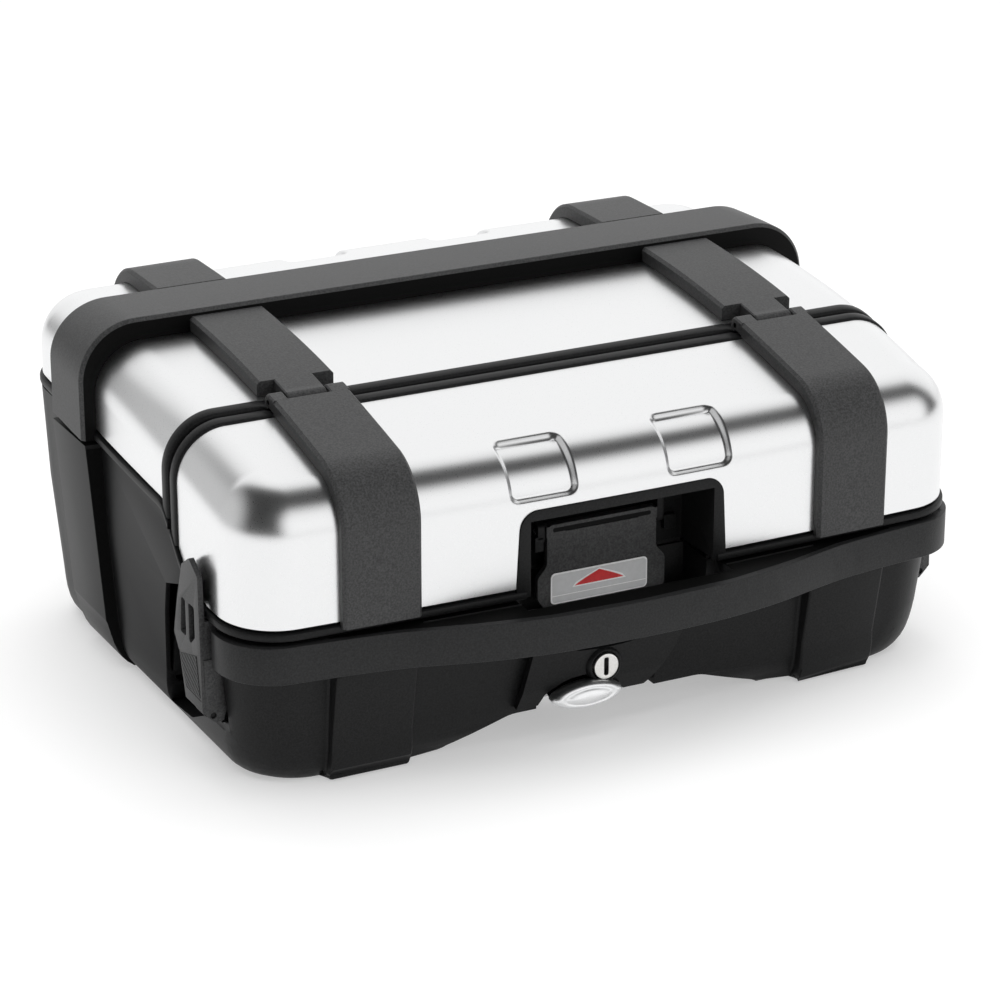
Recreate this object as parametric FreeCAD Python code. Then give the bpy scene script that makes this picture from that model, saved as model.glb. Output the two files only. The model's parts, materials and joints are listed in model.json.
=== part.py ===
import FreeCAD, Part
import math
import os

# Motorcycle top case: moulded base, rear lid and front flap under aluminium covers.
# Millimetres.  X right, -Y towards the lock, +Z up; origin on the ground, centred in the box.

V = FreeCAD.Vector
os.makedirs("parts", exist_ok=True)

# ---- driving dimensions: case body ---------------------------------------------------------
HALF_WIDTH = 256.0        # aluminium cover at its widest point
SIDE_BOW = 4.0            # how far the side bulges between its ends
COVER_FRONT = -168.0      # front face of the cover at its corners
COVER_REAR = 192.0        # rear face of the cover at its corners
FRONT_BOW = 6.0           # extra reach of the front face on the centre line
REAR_BOW = 3.0
CORNER_R = 38.0           # vertical corners of the cover
EDGE_R = 33.0             # rounding between the top and the sides
LIP = 2.0                 # how far the frame's lower lip stands out under the cover
SKIN = 2.0                # sheet thickness of the covers
FRAME = 3.0               # wall of the moulded frames
GAP = 0.2                 # assembly gap between a cover and its frame
TOP_LINE = [(-260, 170), (-137, 198), (-62, 212.8), (56, 224.6), (130, 226), (260, 223)]
JOINT_LINE = [(-240, 98), (-118, 104), (-84, 121), (-68, 140), (-57, 152), (56, 160), (240, 168)]

# ---- driving dimensions: base --------------------------------------------------------------
WALL = 3.0
FLOOR_Z = 19.0            # underside of the floor
FLOOR_T = 3.0
SKIRT = 9.0               # width of the rim the case stands on
BASE_SECTIONS = [(0, 230, -146, 184, 34), (34, 246, -157, 190, 38),
                 (100, 251, -164, 194, 38), (176, 254, -166, 196, 38)]
RIM_LOW = 77.0
RIM_TOP = 101.0
BAR_FRONT = -206.0        # front of the carrying bar
BAR_DEPTH = 20.0
GRIP_HALF = 72.0          # half width of the finger gap behind the bar
ARCH_Z = 18.0
ARCH_HALF = 60.0
ARCH_END = 121.0

# ---- driving dimensions: straps and cross band ---------------------------------------------
STRAP_IN = 138.6
STRAP_OUT = 190.0
STRAP_T = 10.0            # strap thickness over the cover on top
STRAP_FRONT_T = 6.0       # and on the front and rear faces
BAND_FRONT = 56.0
BAND_REAR = 115.0
BAND_SIDE = 266.0
BAND_TOP_T = 14.0
SEAM_REAR = -57.0         # rear edge of the seam between rear lid and flap
SEAM_SPLIT = -67.5        # the middle of its groove
SEAM_FRONT = -78.0

# ---- driving dimensions: hinges, latch, lock -----------------------------------------------
FLAP_AXIS = (-69.0, 216.5)      # y, z of the strap hinge pins
LID_AXIS = (200.0, 166.0)       # y, z of the rear hinge pins
TONGUE_IN = 152.5
TONGUE_OUT = 178.7
BARREL_R = 5.5
PIN_R = 2.0
RUN = 0.05                      # radial running clearance
RECESS_HALF = 64.0
RECESS_TOP = 153.0
RECESS_BACK = -134.0
LATCH_AXIS = (-141.0, 131.0)
LATCH_FACE = -147.0
LEVER_OUT = 261.0
LEVER_IN = 247.0
LEVER_AXIS = (254.0, 43.0)      # |x|, z of the lever pins
HOOK_AXIS = (-108.0, 11.0)      # y, z of the release hook's pin
LOCK_X = -7.3
LOCK_Z = 43.7
LOCK_R = 9.0
BUTTON_X = -21.0
BUTTON_Z = 26.6
BUTTON_HALF = 24.5
BUTTON_HALF_Z = 7.6
BOLT_R = 3.3                    # clearance holes for fixing the case to a carrier plate
BOLT_X = 90.0
BOLT_Y0 = -40.0
BOLT_Y1 = 80.0
BIG = 400.0


# ---- helpers -------------------------------------------------------------------------------
def rounded_wire(points, place):
    """Closed outline through (a, b, radius) corners, each rounded by its radius."""
    count = len(points)
    starts = []
    ends = []
    edges = []
    arcs = []
    for i in range(count):
        a, b, r = points[i]
        here = V(a, b, 0)
        back = (V(*points[i - 1][:2], 0) - here).normalize()
        ahead = (V(*points[(i + 1) % count][:2], 0) - here).normalize()
        if r <= 0:
            starts.append(here)
            ends.append(here)
            arcs.append(None)
            continue
        half = math.acos(max(-1.0, min(1.0, back.dot(ahead)))) / 2
        reach = r / math.tan(half)
        middle = (back + ahead).normalize() * (r / math.sin(half) - r)
        starts.append(here + back * reach)
        ends.append(here + ahead * reach)
        arcs.append(here + middle)
    for i in range(count):
        if arcs[i] is not None:
            edges.append(Part.Arc(place(starts[i]), place(arcs[i]), place(ends[i])).toShape())
        nxt = starts[(i + 1) % count]
        if (nxt - ends[i]).Length > 1e-6:
            edges.append(Part.LineSegment(place(ends[i]), place(nxt)).toShape())
    return Part.Wire(edges)


def corners(points, radius=0.0):
    return [tuple(p) if len(p) == 3 else (p[0], p[1], radius) for p in points]


def across(points, x0, x1, radius=0.0):
    """(y, z) outline extruded along X."""
    wire = rounded_wire(corners(points, radius), lambda p: V(x0, p.x, p.y))
    return Part.Face(wire).extrude(V(x1 - x0, 0, 0))


def along(points, y0, y1, radius=0.0):
    """(x, z) outline extruded along Y."""
    wire = rounded_wire(corners(points, radius), lambda p: V(p.x, y0, p.y))
    return Part.Face(wire).extrude(V(0, y1 - y0, 0))


def upward(points, z0, z1, radius=0.0):
    """(x, y) outline extruded along Z."""
    wire = rounded_wire(corners(points, radius), lambda p: V(p.x, p.y, z0))
    return Part.Face(wire).extrude(V(0, 0, z1 - z0))


def box(x0, x1, y0, y1, z0, z1):
    return Part.makeBox(x1 - x0, y1 - y0, z1 - z0, V(x0, y0, z0))


def rod_x(r, x0, x1, y, z):
    return Part.makeCylinder(r, x1 - x0, V(x0, y, z), V(1, 0, 0))


def rod_y(r, x, y0, y1, z):
    return Part.makeCylinder(r, y1 - y0, V(x, y0, z), V(0, 1, 0))


def rod_z(r, x, y, z0, z1):
    return Part.makeCylinder(r, z1 - z0, V(x, y, z0), V(0, 0, 1))


def mirrored(shape):
    return shape.mirror(V(0, 0, 0), V(1, 0, 0))


def fused(shapes):
    result = shapes[0]
    if len(shapes) > 1:
        result = result.fuse(shapes[1:])
    return result.removeSplitter()


def save(name, shape):
    solids = shape.Solids
    result = solids[0] if len(solids) == 1 else Part.makeCompound(solids)
    if not result.isValid():
        print("not valid:", name)
    print("%-22s %2d solid %9.0f mm3" % (name, len(solids), shape.Volume))
    result.exportStep("parts/" + name + ".step")


def save_pair(name, shape):
    save(name + "_right", shape)
    save(name + "_left", mirrored(shape))


# ---- the forms the parts are cut from ------------------------------------------------------
def lid_block(side, top, edge=None):
    """The closed outer form of the upper case, moved inwards by side and down by top."""
    half = HALF_WIDTH - side
    front = COVER_FRONT + side
    rear = COVER_REAR - side
    middle = (front + rear) / 2
    end = half - SIDE_BOW
    low, high = 60.0, 300.0
    ring = [((-end, front), (0, front - FRONT_BOW), (end, front)),
            ((end, front), (half, middle), (end, rear)),
            ((end, rear), (0, rear + REAR_BOW), (-end, rear)),
            ((-end, rear), (-half, middle), (-end, front))]
    edges = [Part.Arc(V(*a, low), V(*b, low), V(*c, low)).toShape() for a, b, c in ring]
    block = Part.Face(Part.Wire(edges)).extrude(V(0, 0, high - low))
    upright = [e for e in block.Edges if e.BoundBox.XLength < 0.01 and e.BoundBox.YLength < 0.01]
    block = block.makeFillet(max(CORNER_R - side, 3.0), upright)
    block = block.common(below_top(top))
    roof = max(block.Faces, key=lambda f: f.CenterOfMass.z)
    radius = max((EDGE_R if edge is None else edge) - max(side, top), 2.0)
    return block.makeFillet(radius, roof.OuterWire.Edges)


def below_top(drop):
    """Everything under the crown line, lowered by drop."""
    curve = Part.BSplineCurve()
    curve.interpolate([V(-BIG, y, z - drop) for y, z in TOP_LINE])
    first = V(-BIG, TOP_LINE[0][0], TOP_LINE[0][1] - drop)
    last = V(-BIG, TOP_LINE[-1][0], TOP_LINE[-1][1] - drop)
    low_first = V(-BIG, first.y, -50)
    low_last = V(-BIG, last.y, -50)
    wire = Part.Wire([curve.toShape(), Part.LineSegment(last, low_last).toShape(),
                      Part.LineSegment(low_last, low_first).toShape(),
                      Part.LineSegment(low_first, first).toShape()])
    return Part.Face(wire).extrude(V(2 * BIG, 0, 0))


def above_joint(lift):
    """Everything over the joint line between base and lid, raised by lift."""
    line = [(y, z + lift, 12 if 0 < i < len(JOINT_LINE) - 1 else 0) for i, (y, z) in enumerate(JOINT_LINE)]
    return across(line + [(240, 320, 0), (-240, 320, 0)], -BIG, BIG)


def slab(y0, y1):
    return box(-BIG, BIG, y0, y1, -50, 350)


def base_form(inset, low, high):
    """The tapered tub, moved inwards by inset, between two heights."""
    wires = []
    for z, half, front, rear, r in BASE_SECTIONS:
        pts = [(half - inset, front + inset), (half - inset, rear - inset),
               (inset - half, rear - inset), (inset - half, front + inset)]
        wires.append(rounded_wire(corners(pts, r - inset), lambda p, h=z: V(p.x, p.y, h)))
    return Part.makeLoft(wires, True, True).common(box(-BIG, BIG, -BIG, BIG, low, high))


def strap_slab(x0=STRAP_IN, x1=STRAP_OUT):
    return box(x0, x1, -BIG, BIG, 60, 350)


# ---- base ----------------------------------------------------------------------------------
LOCK_BOX = (-50.0, 34.0, -190.0, -126.0, 6.0, 58.0)      # cavity behind the lock trim
LATCH_BOX = (-66.0, 66.0, -190.0, -134.0, 76.0, 140.0)   # finger pocket under the latch
LEVER_BOX = (244.0, 290.0, -127.0, -76.0, 30.0, 170.0)   # channel of the right side lever


def grown(b, by):
    return box(b[0] - by, b[1] + by, b[2] - by, b[3] + by, b[4] - by, b[5] + by)


def front_rib():
    profile = [(-173, 76), (-156, 0), (-130, 0), (-130, 76)]
    return across(profile, STRAP_IN, STRAP_OUT + 3)


def side_rib():
    profile = [(264, 159), (255, 36, 6), (232, 0), (215, 0), (215, 159)]
    return along(profile, BAND_FRONT, BAND_REAR)


def rear_rib():
    profile = [(204, 150), (190, 0), (165, 0), (165, 150)]
    return across(profile, STRAP_IN, STRAP_OUT)


def arch():
    profile = [(-ARCH_END, -10), (-ARCH_END, 0, 20), (-ARCH_HALF - 8, ARCH_Z, 25),
               (ARCH_HALF + 8, ARCH_Z, 25), (ARCH_END, 0, 20), (ARCH_END, -10)]
    return along(profile, -240, -100)


def base_shell():
    outer = base_form(0, 0, 176)
    ribs = [front_rib(), side_rib(), rear_rib()]
    outer = fused([outer] + ribs + [mirrored(r) for r in ribs])
    outer = outer.cut(above_joint(-1.0))
    lever = box(*LEVER_BOX)
    outer = outer.cut([box(*LOCK_BOX), box(*LATCH_BOX), lever, mirrored(lever), arch()])
    inside = base_form(WALL, FLOOR_Z + FLOOR_T, 175)
    keep = [grown(LOCK_BOX, WALL), grown(LATCH_BOX, WALL), grown(LEVER_BOX, WALL),
            mirrored(grown(LEVER_BOX, WALL))]
    inside = inside.cut(keep)
    inside = max(inside.Solids, key=lambda s: s.Volume)
    under = base_form(SKIRT, -1, 176).common(box(-BIG, BIG, -120, BIG, -1, FLOOR_Z))
    bolts = [rod_z(BOLT_R, x, y, 0, 40) for x, y in bolt_places()]
    barrel = rod_y(LOCK_R - 1.0, LOCK_X, -140, -110, LOCK_Z)
    knuckle = rod_x(BARREL_R + 0.8, 151.2, 177.4, *LID_AXIS)
    taken = [inside, under, barrel, knuckle, mirrored(knuckle)]
    return outer.cut(taken + bolts + screw_holes()).removeSplitter()


def bolt_places():
    return [(sx * BOLT_X, y) for sx in (-1, 1) for y in (BOLT_Y0, BOLT_Y1)]


HINGE_SCREW_Z = 158.0
HINGE_SCREW_Y = 192.4
SCREW_R = 2.0


def hinge_screw_places():
    return [(sx * x, HINGE_SCREW_Y, HINGE_SCREW_Z) for sx in (-1, 1) for x in (146.2, 182.3)]


def plate_screw_places():
    return [(sx * 40.0, y, FLOOR_Z - 3.2) for sx in (-1, 1) for y in (-30.0, 85.0)]


def screw_holes():
    rear = [rod_y(SCREW_R, x, y - 4, y + 9, z) for x, y, z in hinge_screw_places()]
    floor = [rod_z(SCREW_R, x, y, z - 1, z + 5.6) for x, y, z in plate_screw_places()]
    return rear + floor


def base_rim():
    right = [(218, -173.5), (192, -176.5), (153, -182.5), (111, -194), (64, -203)]
    points = [(-x, y) for x, y in right] + [(0, BAR_FRONT)] + right[::-1]
    front = Part.BSplineCurve()
    front.interpolate([V(x, y, RIM_LOW) for x, y in points])
    side = 256.0
    back = -129.0
    turn = -136.0
    knee = (245.5, -162.0)
    z = RIM_LOW
    edges = [front.toShape(),
             Part.Arc(V(218, -173.5, z), V(knee[0], knee[1], z), V(side, turn, z)).toShape(),
             Part.LineSegment(V(side, turn, z), V(side, back, z)).toShape(),
             Part.LineSegment(V(side, back, z), V(-side, back, z)).toShape(),
             Part.LineSegment(V(-side, back, z), V(-side, turn, z)).toShape(),
             Part.Arc(V(-side, turn, z), V(-knee[0], knee[1], z), V(-218, -173.5, z)).toShape()]
    rim = Part.Face(Part.Wire(edges)).extrude(V(0, 0, RIM_TOP - RIM_LOW))
    core = base_form(0, 0, 176)
    ribs = front_rib()
    grip = box(-GRIP_HALF, GRIP_HALF, BAR_FRONT + BAR_DEPTH, -150, 60, 120)
    rim = rim.cut([core, ribs, mirrored(ribs), grip, box(*LATCH_BOX)])
    slots = box(90, 122, -176, -170, 90, 120)
    return rim.cut([slots, mirrored(slots)])


def base_seal():
    ring = base_form(0.8, 90, 176).cut(base_form(2.6, 80, 180))
    ring = ring.common(above_joint(-1.0)).cut(above_joint(1.4))
    lever = grown(LEVER_BOX, 0.5)
    ring = ring.cut([grown(LATCH_BOX, 0.5), lever, mirrored(lever)])
    return ring.cut(box(-BIG, BIG, LID_AXIS[0] - 12, BIG, 0, 300))


def lock_housing():
    x0, x1, y0, y1, z0, z1 = LOCK_BOX
    body = box(x0 + 0.3, x1 - 0.3, y0, y1 - 0.3, z0 + 0.3, z1 - 0.3).common(base_form(0.3, 0, 176))
    hole = rod_y(LOCK_R - 1.5 + RUN, LOCK_X, -200, -100, LOCK_Z)
    guide = box(BUTTON_X - BUTTON_HALF - 0.5, BUTTON_X + BUTTON_HALF + 0.5, -200, -133,
                BUTTON_Z - BUTTON_HALF_Z - 0.5, BUTTON_Z + BUTTON_HALF_Z + 0.5)
    return body.cut([hole, guide])


def lock_trim():
    face = [(-57, 62, 3), (48, 61, 3), (24, 24, 8), (8, 12, 6), (-46, 12, 6), (-66, 24, 6)]
    skin = base_form(-5.0, 0, 176).cut(base_form(-0.2, -5, 180))
    boss = rod_y(LOCK_R + 1.6, LOCK_X, -167, -160, LOCK_Z)
    plate = along(face, -200, -100).common(skin).fuse(boss)
    cylinder = rod_y(LOCK_R + 0.3, LOCK_X, -220, -100, LOCK_Z)
    opening = box(BUTTON_X - BUTTON_HALF - 1, BUTTON_X + BUTTON_HALF + 1, -200, -120,
                  BUTTON_Z - BUTTON_HALF_Z - 1, BUTTON_Z + BUTTON_HALF_Z + 1)
    scoop = along([(-36, 66), (-28, 58, 6), (14, 58, 6), (24, 66)], -200, -165.5)
    plate = plate.cut([cylinder, opening, scoop]).removeSplitter()
    return max(plate.Solids, key=lambda s: s.Volume)


def key_cylinder():
    face = rod_y(LOCK_R, LOCK_X, -168.5, -160, LOCK_Z)
    barrel = rod_y(LOCK_R - 1.5, LOCK_X, -160, -122, LOCK_Z)
    slot = box(LOCK_X - 1.3, LOCK_X + 1.3, -170, -162, LOCK_Z - 5.5, LOCK_Z + 5.5)
    return face.fuse(barrel).cut(slot).removeSplitter()


def lock_cam():
    x, z = LOCK_X, LOCK_Z
    cam = along([(x - 4, z - 5, 2), (x + 4, z - 5, 2), (x + 4, z + 17, 3), (x - 4, z + 17, 3)], -122, -119)
    return cam


def oval(half_x, half_z, y0, y1):
    outline = [(BUTTON_X - half_x, BUTTON_Z - half_z), (BUTTON_X + half_x, BUTTON_Z - half_z),
               (BUTTON_X + half_x, BUTTON_Z + half_z), (BUTTON_X - half_x, BUTTON_Z + half_z)]
    return along(outline, y0, y1, half_z - 0.05)


def release_button():
    cap = oval(BUTTON_HALF, BUTTON_HALF_Z, -174, -146)
    stem = oval(8, 4, -146, -140)
    return cap.fuse(stem).removeSplitter()


def release_hook():
    pivot_y, pivot_z = HOOK_AXIS
    arm = across([(pivot_y - 5, pivot_z - 5, 3), (pivot_y + 16, pivot_z - 8, 2), (pivot_y + 16, pivot_z - 3, 1),
                  (pivot_y + 6, pivot_z + 3, 2), (pivot_y - 5, pivot_z + 4, 3)], -18, 18)
    return arm.cut(rod_x(PIN_R + RUN, -30, 30, pivot_y, pivot_z))


def hook_pin():
    return rod_x(PIN_R, -26, 26, *HOOK_AXIS)


def mounting_plate():
    plate = upward([(-110, -60), (110, -60), (110, 100), (-110, 100)], FLOOR_Z - 3.2, FLOOR_Z - 0.2, 12)
    holes = [rod_z(BOLT_R, x, y, 0, 40) for x, y in bolt_places()]
    claws = [box(sx * 60 - 14, sx * 60 + 14, 60, 72, 0, 40) for sx in (-1, 1)]
    return plate.cut(holes + claws + screw_holes())


def hook_bracket():
    """Two ears and a bridge in front of the mounting plate, holding the hook's pin."""
    ears = [box(sx * 22 - 2, sx * 22 + 2, -116, -61, 5, FLOOR_Z - 0.2) for sx in (-1, 1)]
    bridge = box(-24, 24, -64, -61, 5, FLOOR_Z - 0.2)
    return fused([bridge] + ears).cut(rod_x(PIN_R, -30, 30, *HOOK_AXIS))


def screw_group(places, length, axis):
    """Pan-head screws: places are the head seats, axis points from the head into the part."""
    made = []
    for x, y, z in places:
        seat = V(x, y, z)
        head = Part.makeCylinder(2 * SCREW_R, 2.2, seat - axis * 2.2, axis)
        shank = Part.makeCylinder(SCREW_R, length, seat, axis)
        made.append(head.fuse(shank).removeSplitter())
    return Part.makeCompound(made)


def floor_mat():
    mat = upward([(-205, -108), (205, -108), (205, 165), (-205, 165)], FLOOR_Z + FLOOR_T + 0.2,
                 FLOOR_Z + FLOOR_T + 2.2, 30)
    return mat.cut([rod_z(BOLT_R + 6, x, y, 0, 60) for x, y in bolt_places()])


def striker():
    return box(-18, 18, -139, -134.2, 96.5, 99.5)


def hinge_base():
    """Base half of the right rear hinge: a bracket with two knuckles."""
    y, z = LID_AXIS
    made = []
    for x0, x1 in ((141.0, 151.5), (177.1, 187.6)):
        arm = across([(y - 8.0, z - 12), (y + 4, z - 12), (y + BARREL_R, z), (y - 8.0, z)], x0, x1)
        made.append(arm.fuse(rod_x(BARREL_R, x0, x1, y, z)))
    web = box(141.0, 187.6, y - 8.0, y + 1.5, z - 15, z - 8)
    half = fused(made + [web])
    taken = [rod_x(PIN_R + 0.5, 130, 200, y, z), base_form(-0.1, 0, 176), rear_rib()]
    return half.cut(taken + screw_holes()).removeSplitter()


def hinge_lid():
    """Lid half of the right rear hinge: one knuckle under the strap end."""
    y, z = LID_AXIS
    arm = across([(y - 4.3, z), (y + 4.3, z), (y + 4.0, z + 11.5), (y - 3.5, z + 11.5)], 152.0, 176.6)
    half = fused([arm, rod_x(BARREL_R, 152.0, 176.6, y, z)])
    return half.cut(rod_x(PIN_R + 0.5 + RUN, 130, 200, y, z))


def hinge_pin():
    return rod_x(PIN_R + 0.5, 141.0, 187.6, *LID_AXIS)


# ---- rear lid ------------------------------------------------------------------------------
def hinge_notch():
    """Room around the right rear hinge in the lid's lower edge."""
    y, z = LID_AXIS
    return box(140.0, 188.6, y - 12, y + 20, z - 30, z + 7.5)


def lid_frame_form():
    skin = SKIN + GAP
    shell = lid_block(skin, skin).cut(lid_block(skin + FRAME, skin + FRAME))
    lip = lid_block(-LIP, -LIP).cut(lid_block(skin + FRAME, skin + FRAME)).cut(above_joint(7.0))
    return shell.fuse(lip).common(above_joint(2.0))


def cover_form():
    skin = lid_block(0, 0).cut(lid_block(SKIN, SKIN))
    return skin.common(above_joint(9.0))


def lip_room():
    """Space taken by the frame's lip, with a small gap."""
    return lid_block(-LIP - GAP, -LIP - GAP).common(above_joint(1.0)).cut(above_joint(7.2))


def ridge_form(y0, y1):
    """One of the two moulded ridges that face each other across the seam."""
    ring = lid_block(-1.5, -1.5).cut(lid_block(9.0, 9.0)).common(above_joint(2.0))
    room = rod_x(BARREL_R + 0.7, STRAP_IN - 1, STRAP_OUT + 1, *FLAP_AXIS)
    return ring.common(slab(y0, y1)).cut([room, mirrored(room)])


def rear_lid_frame(frame):
    body = frame.common(slab(SEAM_SPLIT + 1.5, BIG)).fuse(ridge_form(SEAM_SPLIT + 1.5, SEAM_REAR))
    body = body.cut([hinge_notch(), mirrored(hinge_notch())])
    return body.removeSplitter()


def flap_frame(frame):
    body = frame.common(slab(-BIG, SEAM_SPLIT - 1.5)).fuse(ridge_form(SEAM_FRONT, SEAM_SPLIT - 1.5))
    flange = along(recess_outline(0), -BIG, -120).cut(lid_block(SKIN + 0.1, SKIN + 0.1))
    body = body.cut([box(-RECESS_HALF - 3.3, RECESS_HALF + 3.3, -BIG, -120, 90, RECESS_TOP + 3.3), flange])
    return max(body.Solids, key=lambda s: s.Volume)


def recess_outline(shrink):
    top = RECESS_TOP + 7 - shrink
    return [(-76.7 + shrink, 60), (-70.8 + shrink, top, 12), (70.8 - shrink, top, 12), (76.7 - shrink, 60)]


def strap_form():
    outer = lid_block(-STRAP_FRONT_T, -STRAP_T, EDGE_R + 1).cut(lid_block(-GAP, -GAP))
    return outer.common(strap_slab())


def cross_band():
    outer = lid_block(-(BAND_SIDE - HALF_WIDTH), -BAND_TOP_T, EDGE_R - 4).cut(lid_block(-GAP, -GAP))
    return outer.common(slab(BAND_FRONT, BAND_REAR)).common(above_joint(2.0)).cut(lip_room())


def mid_strap(form):
    y, z = FLAP_AXIS
    body = form.common(slab(-52.0, BAND_FRONT - GAP))
    tongue = form.common(slab(y, -51.0)).common(box(TONGUE_IN, TONGUE_OUT, -BIG, BIG, 0, 350))
    barrel = rod_x(BARREL_R, TONGUE_IN, TONGUE_OUT, y, z)
    rest = lid_block(-1.8, -1.8).common(slab(-90, -51.5))
    body = fused([body, tongue, barrel]).cut([rod_x(PIN_R + RUN, 130, 200, y, z), rest])
    return max(body.Solids, key=lambda s: s.Volume)


def front_strap(form):
    y, z = FLAP_AXIS
    low = 106.8
    body = form.common(box(0, BIG, -BIG, y + 1, low, 350))
    notch = box(TONGUE_IN - 1, TONGUE_OUT + 1, y - 8.0, y + 20, 100, 350)
    ears = [rod_x(BARREL_R, STRAP_IN, TONGUE_IN - 1, y, z), rod_x(BARREL_R, TONGUE_OUT + 1, STRAP_OUT, y, z)]
    rest = lid_block(-1.8, -1.8).common(slab(-90, 0))
    body = fused([body] + ears).cut([notch, rod_x(PIN_R, 130, 200, y, z), rest, lip_room()])
    return max(body.Solids, key=lambda s: s.Volume)


def rear_strap(form):
    return form.common(slab(BAND_REAR + GAP, BIG)).cut(box(0, BIG, 0, BIG, 0, LID_AXIS[1] + 11.7))


def strap_pin():
    return rod_x(PIN_R, STRAP_IN, STRAP_OUT, *FLAP_AXIS)


def seam_seal():
    ring = lid_block(2.5, 2.5).cut(lid_block(6.0, 6.0)).common(above_joint(4.0))
    return ring.common(slab(SEAM_SPLIT - 1.1, SEAM_SPLIT + 1.5))


# ---- flap ----------------------------------------------------------------------------------
def flap_cover(cover):
    body = cover.common(slab(-BIG, SEAM_FRONT - 0.5))
    return body.cut(along(recess_outline(0), -BIG, -120))


def handle_recess():
    wall = 3.0
    top = RECESS_TOP + wall
    half = RECESS_HALF + wall
    outer = along([(-half, 105.6), (half, 105.6), (half, top, 9), (-half, top, 9)], -200, RECESS_BACK + wall)
    inner = box(-RECESS_HALF, RECESS_HALF, -220, RECESS_BACK, 90, RECESS_TOP)
    tray = outer.cut(inner).common(lid_block(-1.0, -1.0))
    flange = along(recess_outline(0.4), -BIG, -120).cut(inner)
    flange = flange.common(lid_block(-1.0, -1.0).cut(lid_block(SKIN, SKIN))).common(above_joint(3.0))
    y, z = LATCH_AXIS
    lug = across([(y - 5, z - 6, 3), (RECESS_BACK + 1, z - 9), (RECESS_BACK + 1, z + 9), (y - 5, z + 5, 3)],
                 39.5, 44.5)
    body = fused([tray, flange, lug, mirrored(lug)])
    return body.cut(rod_x(PIN_R, -60, 60, y, z))


def latch_pin():
    return rod_x(PIN_R, -44.5, 44.5, *LATCH_AXIS)


def flap_seal():
    return box(-RECESS_HALF, RECESS_HALF, RECESS_BACK + 0.5, RECESS_BACK + 2.5, 103.2, 105.5)


def latch_plate():
    y, z = LATCH_AXIS
    face = [(-38.5, 136, 4), (38.5, 136, 4), (38.5, 109, 8), (45, 102, 6), (45, 81.5, 3), (-41, 81.5, 3),
            (-45, 88, 3), (-45, 102, 6), (-38.5, 109, 8)]
    plate = along(face, LATCH_FACE, LATCH_FACE + 4)
    barrel = rod_x(4.5, -39, 39, y, z)
    web = box(-39, 39, LATCH_FACE, y, z - 3, z + 4)
    body = fused([plate, barrel, web])
    slot = box(-26, 26, LATCH_FACE - 5, LATCH_FACE + 1.6, 130.5, 133)
    return body.cut([rod_x(PIN_R + RUN, -60, 60, y, z), slot])


def latch_label():
    outline = [(-36.2, 82.8), (32.2, 82.8), (32.2, 103.6), (-36.2, 103.6)]
    return along(outline, LATCH_FACE - 0.8, LATCH_FACE, 3)


def latch_arrow():
    outline = [(-19.5, 93.2), (15.1, 93.2), (3.5, 101.3, 5), (-7.9, 101.3, 5)]
    return along(outline, LATCH_FACE - 1.2, LATCH_FACE - 0.8)


def latch_hook():
    back = LATCH_FACE + 4
    hook = across([(back, 112), (back, 94), (-139.7, 92), (-139.7, 96), (-141.5, 102)], -14, 14)
    return hook


# ---- side levers ---------------------------------------------------------------------------
def side_lever():
    outline = [(-97, 134, 2), (-109, 142, 2), (-122, 134, 2), (-124, 38, 3), (-117, 37, 3), (-98, 42, 3),
               (-89, 73, 3), (-81, 84, 3), (-88, 109, 4)]
    body = across(outline, LEVER_IN, LEVER_OUT)
    rear_slot = across([(-92, 88, 2), (-101, 88, 2), (-101, 112, 2), (-95, 112, 2)], 230, 290)
    front_slot = across([(-106, 84, 2), (-115, 92, 2), (-115, 112, 2), (-106, 112, 2)], 230, 290)
    hollow = across([(-100, 128, 2), (-118, 128, 2), (-118, 58, 2), (-100, 58, 2)], 230, LEVER_OUT - 4)
    x, z = LEVER_AXIS
    cheeks = []
    for y0, y1 in ((-124.0, -120.0), (-100.0, -96.0)):
        profile = [(244.8, z + 3), (248, 38.5, 2), (LEVER_OUT - 2, 38.5, 2), (LEVER_OUT - 2, 80), (250, 80), (244.8, 72)]
        cheeks.append(along(profile, y0, y1))
    toe = along([(LEVER_OUT + 1, 30), (LEVER_OUT + 1, 47), (LEVER_OUT - 9, 37), (LEVER_OUT - 9, 30)], -140, -70)
    swept = HALF_WIDTH + LIP - 0.4
    cover_side = box(-swept, swept, -BIG, BIG, -50, 350).common(above_joint(1.0))
    room = box(240, 258.4, -120.0, -100.0, 30, 58)
    heel = box(240, 244.8 + 6, -96.0, -70, 30, 62)
    body = fused([body.cut([room, heel])] + cheeks)
    body = body.cut([rear_slot, front_slot, hollow, toe, cover_side])
    body = max(body.Solids, key=lambda s: s.Volume)
    return body.cut(rod_y(PIN_R + RUN, x, -140, -60, z)).removeSplitter()


def lever_grip():
    return across([(-98, 72, 1), (-120, 72, 1), (-120, 52, 1), (-112, 50, 1)], LEVER_OUT, LEVER_OUT + 0.8)


def lever_bracket():
    """A lug on a base plate between the lever's cheeks, holding its pin."""
    x, z = LEVER_AXIS
    low = LEVER_BOX[0] + 0.2
    base = box(low, low + 2.2, -118.0, -102.0, 34, 60)
    lug = along([(low, z - 6), (x, z - 3.8), (x, z + 3.8), (low, z + 8)], -117.0, -103.0)
    end = rod_y(3.8, x, -117.0, -103.0, z)
    return fused([base, lug, end]).cut(rod_y(PIN_R, x, -140, -60, z))


def lever_pin():
    x, z = LEVER_AXIS
    return rod_y(PIN_R, x, -123.0, -97.0, z)


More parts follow.
